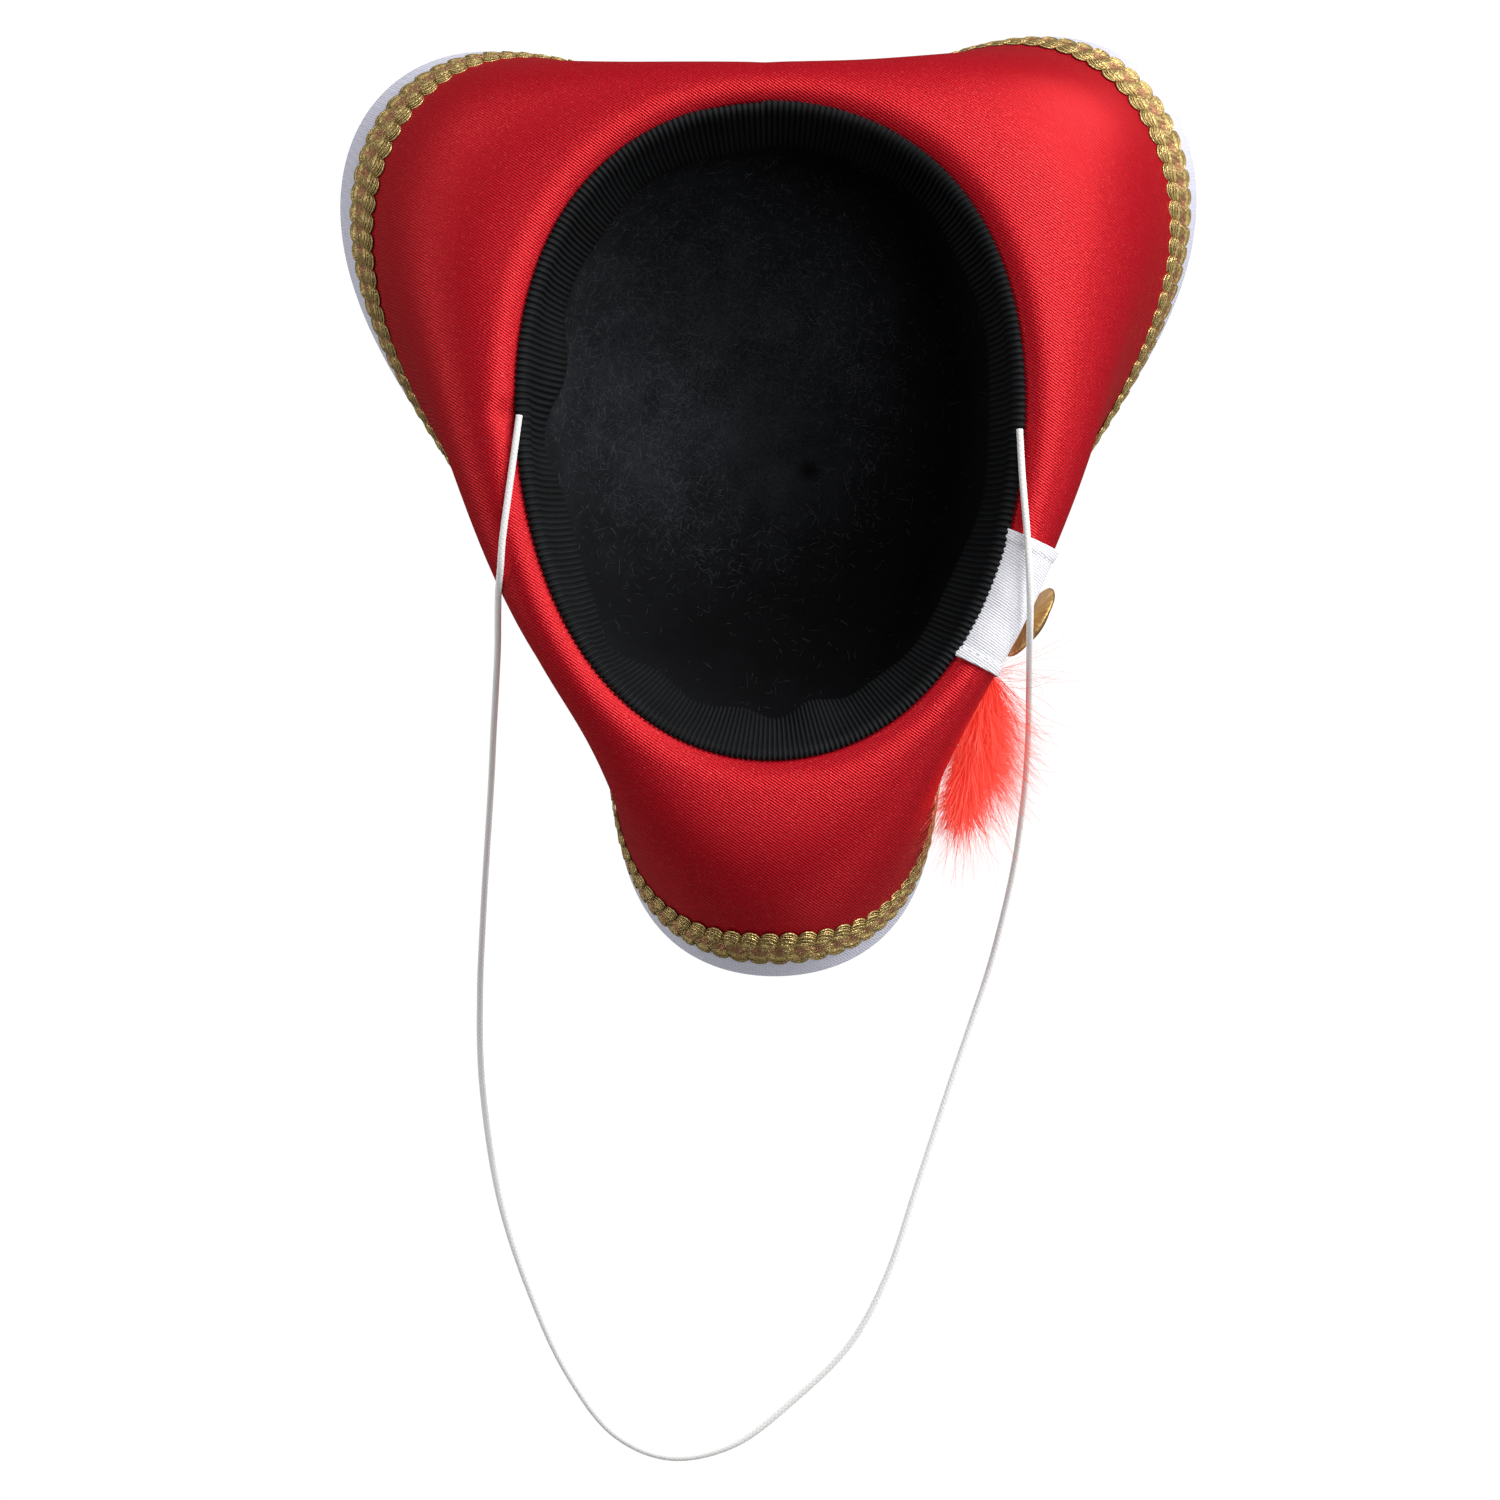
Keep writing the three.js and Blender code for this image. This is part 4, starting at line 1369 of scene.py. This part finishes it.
@dataclass
class Strap:
    """Hemmed satin strip over the fold of the right front flap, with its button."""

    brim: BrimSurface
    width: float = STRAP_WIDTH
    length: float = 0.062
    lift: float = 0.0003
    wall: float = 0.0004
    hem: float = 0.0035
    stitch: float = 0.0026
    columns: int = 88
    rows: int = 96

    def turn_at(self, across: Floats, down: Floats) -> Floats:
        """Turn of a place on the strap.

        Args:
            across: Distance from the strap's middle towards the back.
            down: Distance from the seam.

        Returns:
            Shares of a turn.
        """
        return STRAP_TURN + across / self.brim.length_per_turn(
            np.full(np.shape(down), STRAP_TURN), down)

    def strip(self) -> None:
        """Builds the strip with its folded hems."""
        def place(share: Floats, along: Floats) -> Floats:
            """Points on the strip."""
            across = (share - 0.5) * self.width
            down = 0.0008 + along * (self.length - 0.0008)
            rim = self.width / 2 - np.abs(across)
            raised = 0.0005 * (1 - ease((rim - self.hem) / 0.0008))
            raised = raised - 0.0003 * np.exp(-((rim - self.hem) / 0.0004) ** 2)
            soft = 0.0002 * np.sin(across * 420 + down * 90) * np.sin(down * 160)
            return self.brim.place(self.turn_at(across, down), down,
                                   self.lift + self.wall + raised + soft)

        def cloth(share: Floats, along: Floats) -> Floats:
            """Place on the flat strip, in metres."""
            return np.stack([share * self.width, along * self.length], axis=1)

        mesh = bmesh.new()
        grid_cloth(mesh, self.columns, self.rows, place, cloth, turned=True)
        piece = make_piece("strap_cloth", mesh, Slot.WHITE_SATIN, STRAP_SATIN, "strap")
        thicken(piece, self.wall)

    def stitches(self) -> None:
        """Builds the two rows of stitches that hold the hems."""
        mesh = bmesh.new()
        rows = int(self.length / self.stitch)
        for side in (-1, 1):
            across = side * (self.width / 2 - self.hem)
            for i in range(rows):
                ends = np.array([i + 0.15, i + 0.5, i + 0.85]) * self.stitch + 0.001
                line = self.brim.place(self.turn_at(np.full(3, across), ends), ends,
                                       self.lift + self.wall + np.array([0, 0.0003, 0]))
                tube(mesh, line, np.array([0.00012, 0.0002, 0.00012]), 6)
        # The thread's dips take a darker painted shade.
        make_piece("strap_stitches", mesh, Slot.WHITE_SATIN,
                   CoveredElastic("spun_polyester_thread", gap="#dcdce6"))

    def build(self) -> None:
        """Builds the strap."""
        self.strip()
        self.stitches()


@dataclass
class Button:
    """Domed brass button on a shank."""

    brim: BrimSurface
    down: float = 0.040
    diameter: float = 0.026
    edge: float = 0.0011
    dome: float = 0.0036
    shank: float = 0.0018
    shank_diameter: float = 0.006
    turn: float = math.radians(-10)
    rise: float = math.radians(-4)
    sides: int = 96

    def build(self) -> None:
        """Builds the button by spinning its outline."""
        radius, rim = self.diameter / 2, self.shank + self.edge
        outline = [
            (0, 0), (self.shank_diameter / 2, 0), (self.shank_diameter / 2, self.shank),
            (radius * 0.93, self.shank), (radius, self.shank + self.edge * 0.35),
            (radius, self.shank + self.edge * 0.8), (radius * 0.965, rim + 0.0003),
            (radius * 0.92, rim + 0.0002),
        ]
        for i in range(1, 13):
            share = i / 12
            outline.append((radius * 0.92 * (1 - share),
                            rim + 0.0002 + (self.dome - 0.0002) * math.sin(share * math.pi / 2)))
        mesh = bmesh.new()
        verts = [mesh.verts.new((x, 0, z)) for x, z in outline]
        edges = [mesh.edges.new(pair) for pair in zip(verts, verts[1:])]
        bmesh.ops.spin(mesh, geom=verts + edges, cent=(0, 0, 0), axis=(0, 0, 1),
                       angle=TAU, steps=self.sides, use_merge=True)
        bmesh.ops.remove_doubles(mesh, verts=mesh.verts, dist=1e-6)
        bmesh.ops.recalc_face_normals(mesh, faces=mesh.faces)
        layer = mesh.loops.layers.uv.new(CLOTH_MAP)
        for face in mesh.faces:
            middle = face.calc_center_median()
            for loop in face.loops:
                spot = loop.vert.co
                angle = math.atan2(spot.y, spot.x)
                centre = math.atan2(middle.y, middle.x)
                angle += TAU * round((centre - angle) / TAU)
                loop[layer].uv = (angle * radius, math.hypot(spot.x, spot.y))
        off = self.brim.off(np.array([STRAP_TURN]), np.array([self.down]))
        axis = Matrix.Rotation(self.turn, 3, "Z") @ Vector(off[0])
        level = axis.cross(Vector((0, 0, 1)))
        axis = Matrix.Rotation(self.rise, 3, level) @ axis
        tilt = (self.shank_diameter / 2 + 0.0002) * math.sin(abs(self.turn))
        foot = self.brim.place(STRAP_TURN, self.down, 0.0024 + tilt)
        turn = axis.to_track_quat("Z", "Y").to_matrix().to_4x4()
        bmesh.ops.transform(mesh, verts=mesh.verts,
                            matrix=Matrix.Translation(Vector(foot)) @ turn)
        make_piece("button_dome", mesh, Slot.BRASS,
                   StampedBrass("stamped_brass"), "button")


@dataclass(frozen=True)
class Tuft:
    """Barbs of one kind: how many, where on the quill, which way they fan out and their size."""

    name: str
    barbs: int
    span: tuple[float, float]
    fan: float
    spread: float
    tumble: float
    length: tuple[float, float]
    width: tuple[float, float]


@dataclass
class Plume:
    """Marabou feather that lies along the flap, from the strap's front edge to the front."""

    brim: BrimSurface
    quill: float = 0.0013
    seed: int = 11
    spine: tuple[tuple[float, float, float], ...] = (
        # ahead of the strap's front edge, down from the seam and off the flap
        (-0.003, 0.0380, 0.0014), (0.004, 0.0400, 0.0016), (0.011, 0.0420, 0.0030),
        (0.020, 0.0445, 0.0060), (0.030, 0.0480, 0.0088),
    )
    tufts: tuple[Tuft, ...] = (
        Tuft("core", 3600, (0.12, 1.0), 0.14, 0.27, 0.25, (0.010, 0.024), (0.0002, 0.0005)),
        Tuft("sheer", 2000, (0.05, 0.85), 0.75, 0.32, 0.35, (0.016, 0.034), (0.00009, 0.0002)),
        Tuft("tips", 420, (0.35, 1.0), 0.12, 0.34, 0.3, (0.028, 0.044), (0.00007, 0.00014)),
        Tuft("root", 50, (0.0, 0.2), 2.3, 0.5, 0.5, (0.020, 0.045), (0.00006, 0.0001)),
    )

    def spine_line(self, count: int) -> Floats:
        """Points along the quill.

        Args:
            count: How many points to return.

        Returns:
            Array of points.
        """
        per_turn = float(self.brim.length_per_turn(np.array(STRAP_TURN), np.array(0.038)))
        start = STRAP_TURN - (STRAP_WIDTH / 2 + self.quill / 2) / per_turn
        rows = [self.brim.place(start - ahead / per_turn, down, lift)
                for ahead, down, lift in self.spine]
        return through(rows, np.linspace(0, 1, count))

    def barbs(self, tuft: Tuft, line: Floats, rng: np.random.Generator) -> Floats:
        """Lays out the barbs of one kind.

        Args:
            tuft: Kind of barb.
            line: Points along the quill.
            rng: Source of chance.

        Returns:
            Points along each barb.
        """
        count = tuft.barbs
        at = (rng.uniform(*tuft.span, count) * (len(line) - 1)).astype(int)
        fan, dip = rng.normal(tuft.fan, tuft.spread, count), rng.normal(-0.15, tuft.tumble, count)
        length = rng.uniform(*tuft.length, count)[:, None, None]
        ahead = unit(np.gradient(line, axis=0))[at]
        outwards = unit(np.cross((0, 0, 1), ahead))
        flat = ahead * np.cos(fan)[:, None] + outwards * np.sin(fan)[:, None]
        heading = unit(flat * np.cos(dip)[:, None] + np.array([0, 0, 1]) * np.sin(dip)[:, None])
        bend = unit(heading + ahead * 0.5 + rng.normal(0, 0.45, (count, 3)) - (0, 0, 0.2))
        way = np.linspace(0, 1, 7)[None, :, None]
        turned = rng.uniform(0.2, 0.9, (count, 1, 1))
        wiggle = rng.normal(0, 0.0005, (count, 1, 3)) * np.sin(
            way * rng.uniform(3, 9, (count, 1, 1)))
        return (line[at][:, None] + heading[:, None] * way * length
                + (bend - heading)[:, None] * way ** 2 * length * turned + wiggle)

    def build(self) -> None:
        """Builds the quill and its barbs."""
        rng = np.random.default_rng(self.seed)
        line = self.spine_line(60)
        mesh = bmesh.new()
        tube(mesh, line, np.linspace(self.quill / 2, self.quill / 5, len(line)), 8)
        for tuft in self.tufts:
            comb(mesh, self.barbs(tuft, line, rng), rng.uniform(*tuft.width, tuft.barbs))
        make_piece("plume_feather", mesh, Slot.FEATHER,
                   DyedDown("dyed_marabou_down"), "plume")


def main() -> None:
    """Builds the studio and the hat, piece by piece."""
    logging.basicConfig(level=logging.INFO, format="%(message)s")
    Studio().build()
    ChinElastic().build()
    brim = BrimSurface()
    Crown(brim).build()
    BrimCloth(brim).build()
    EdgeBraid(brim).build()
    Sweatband(brim).build()
    Strap(brim).build()
    Button(brim).build()
    Plume(brim).build()


if __name__ == "__main__":
    main()
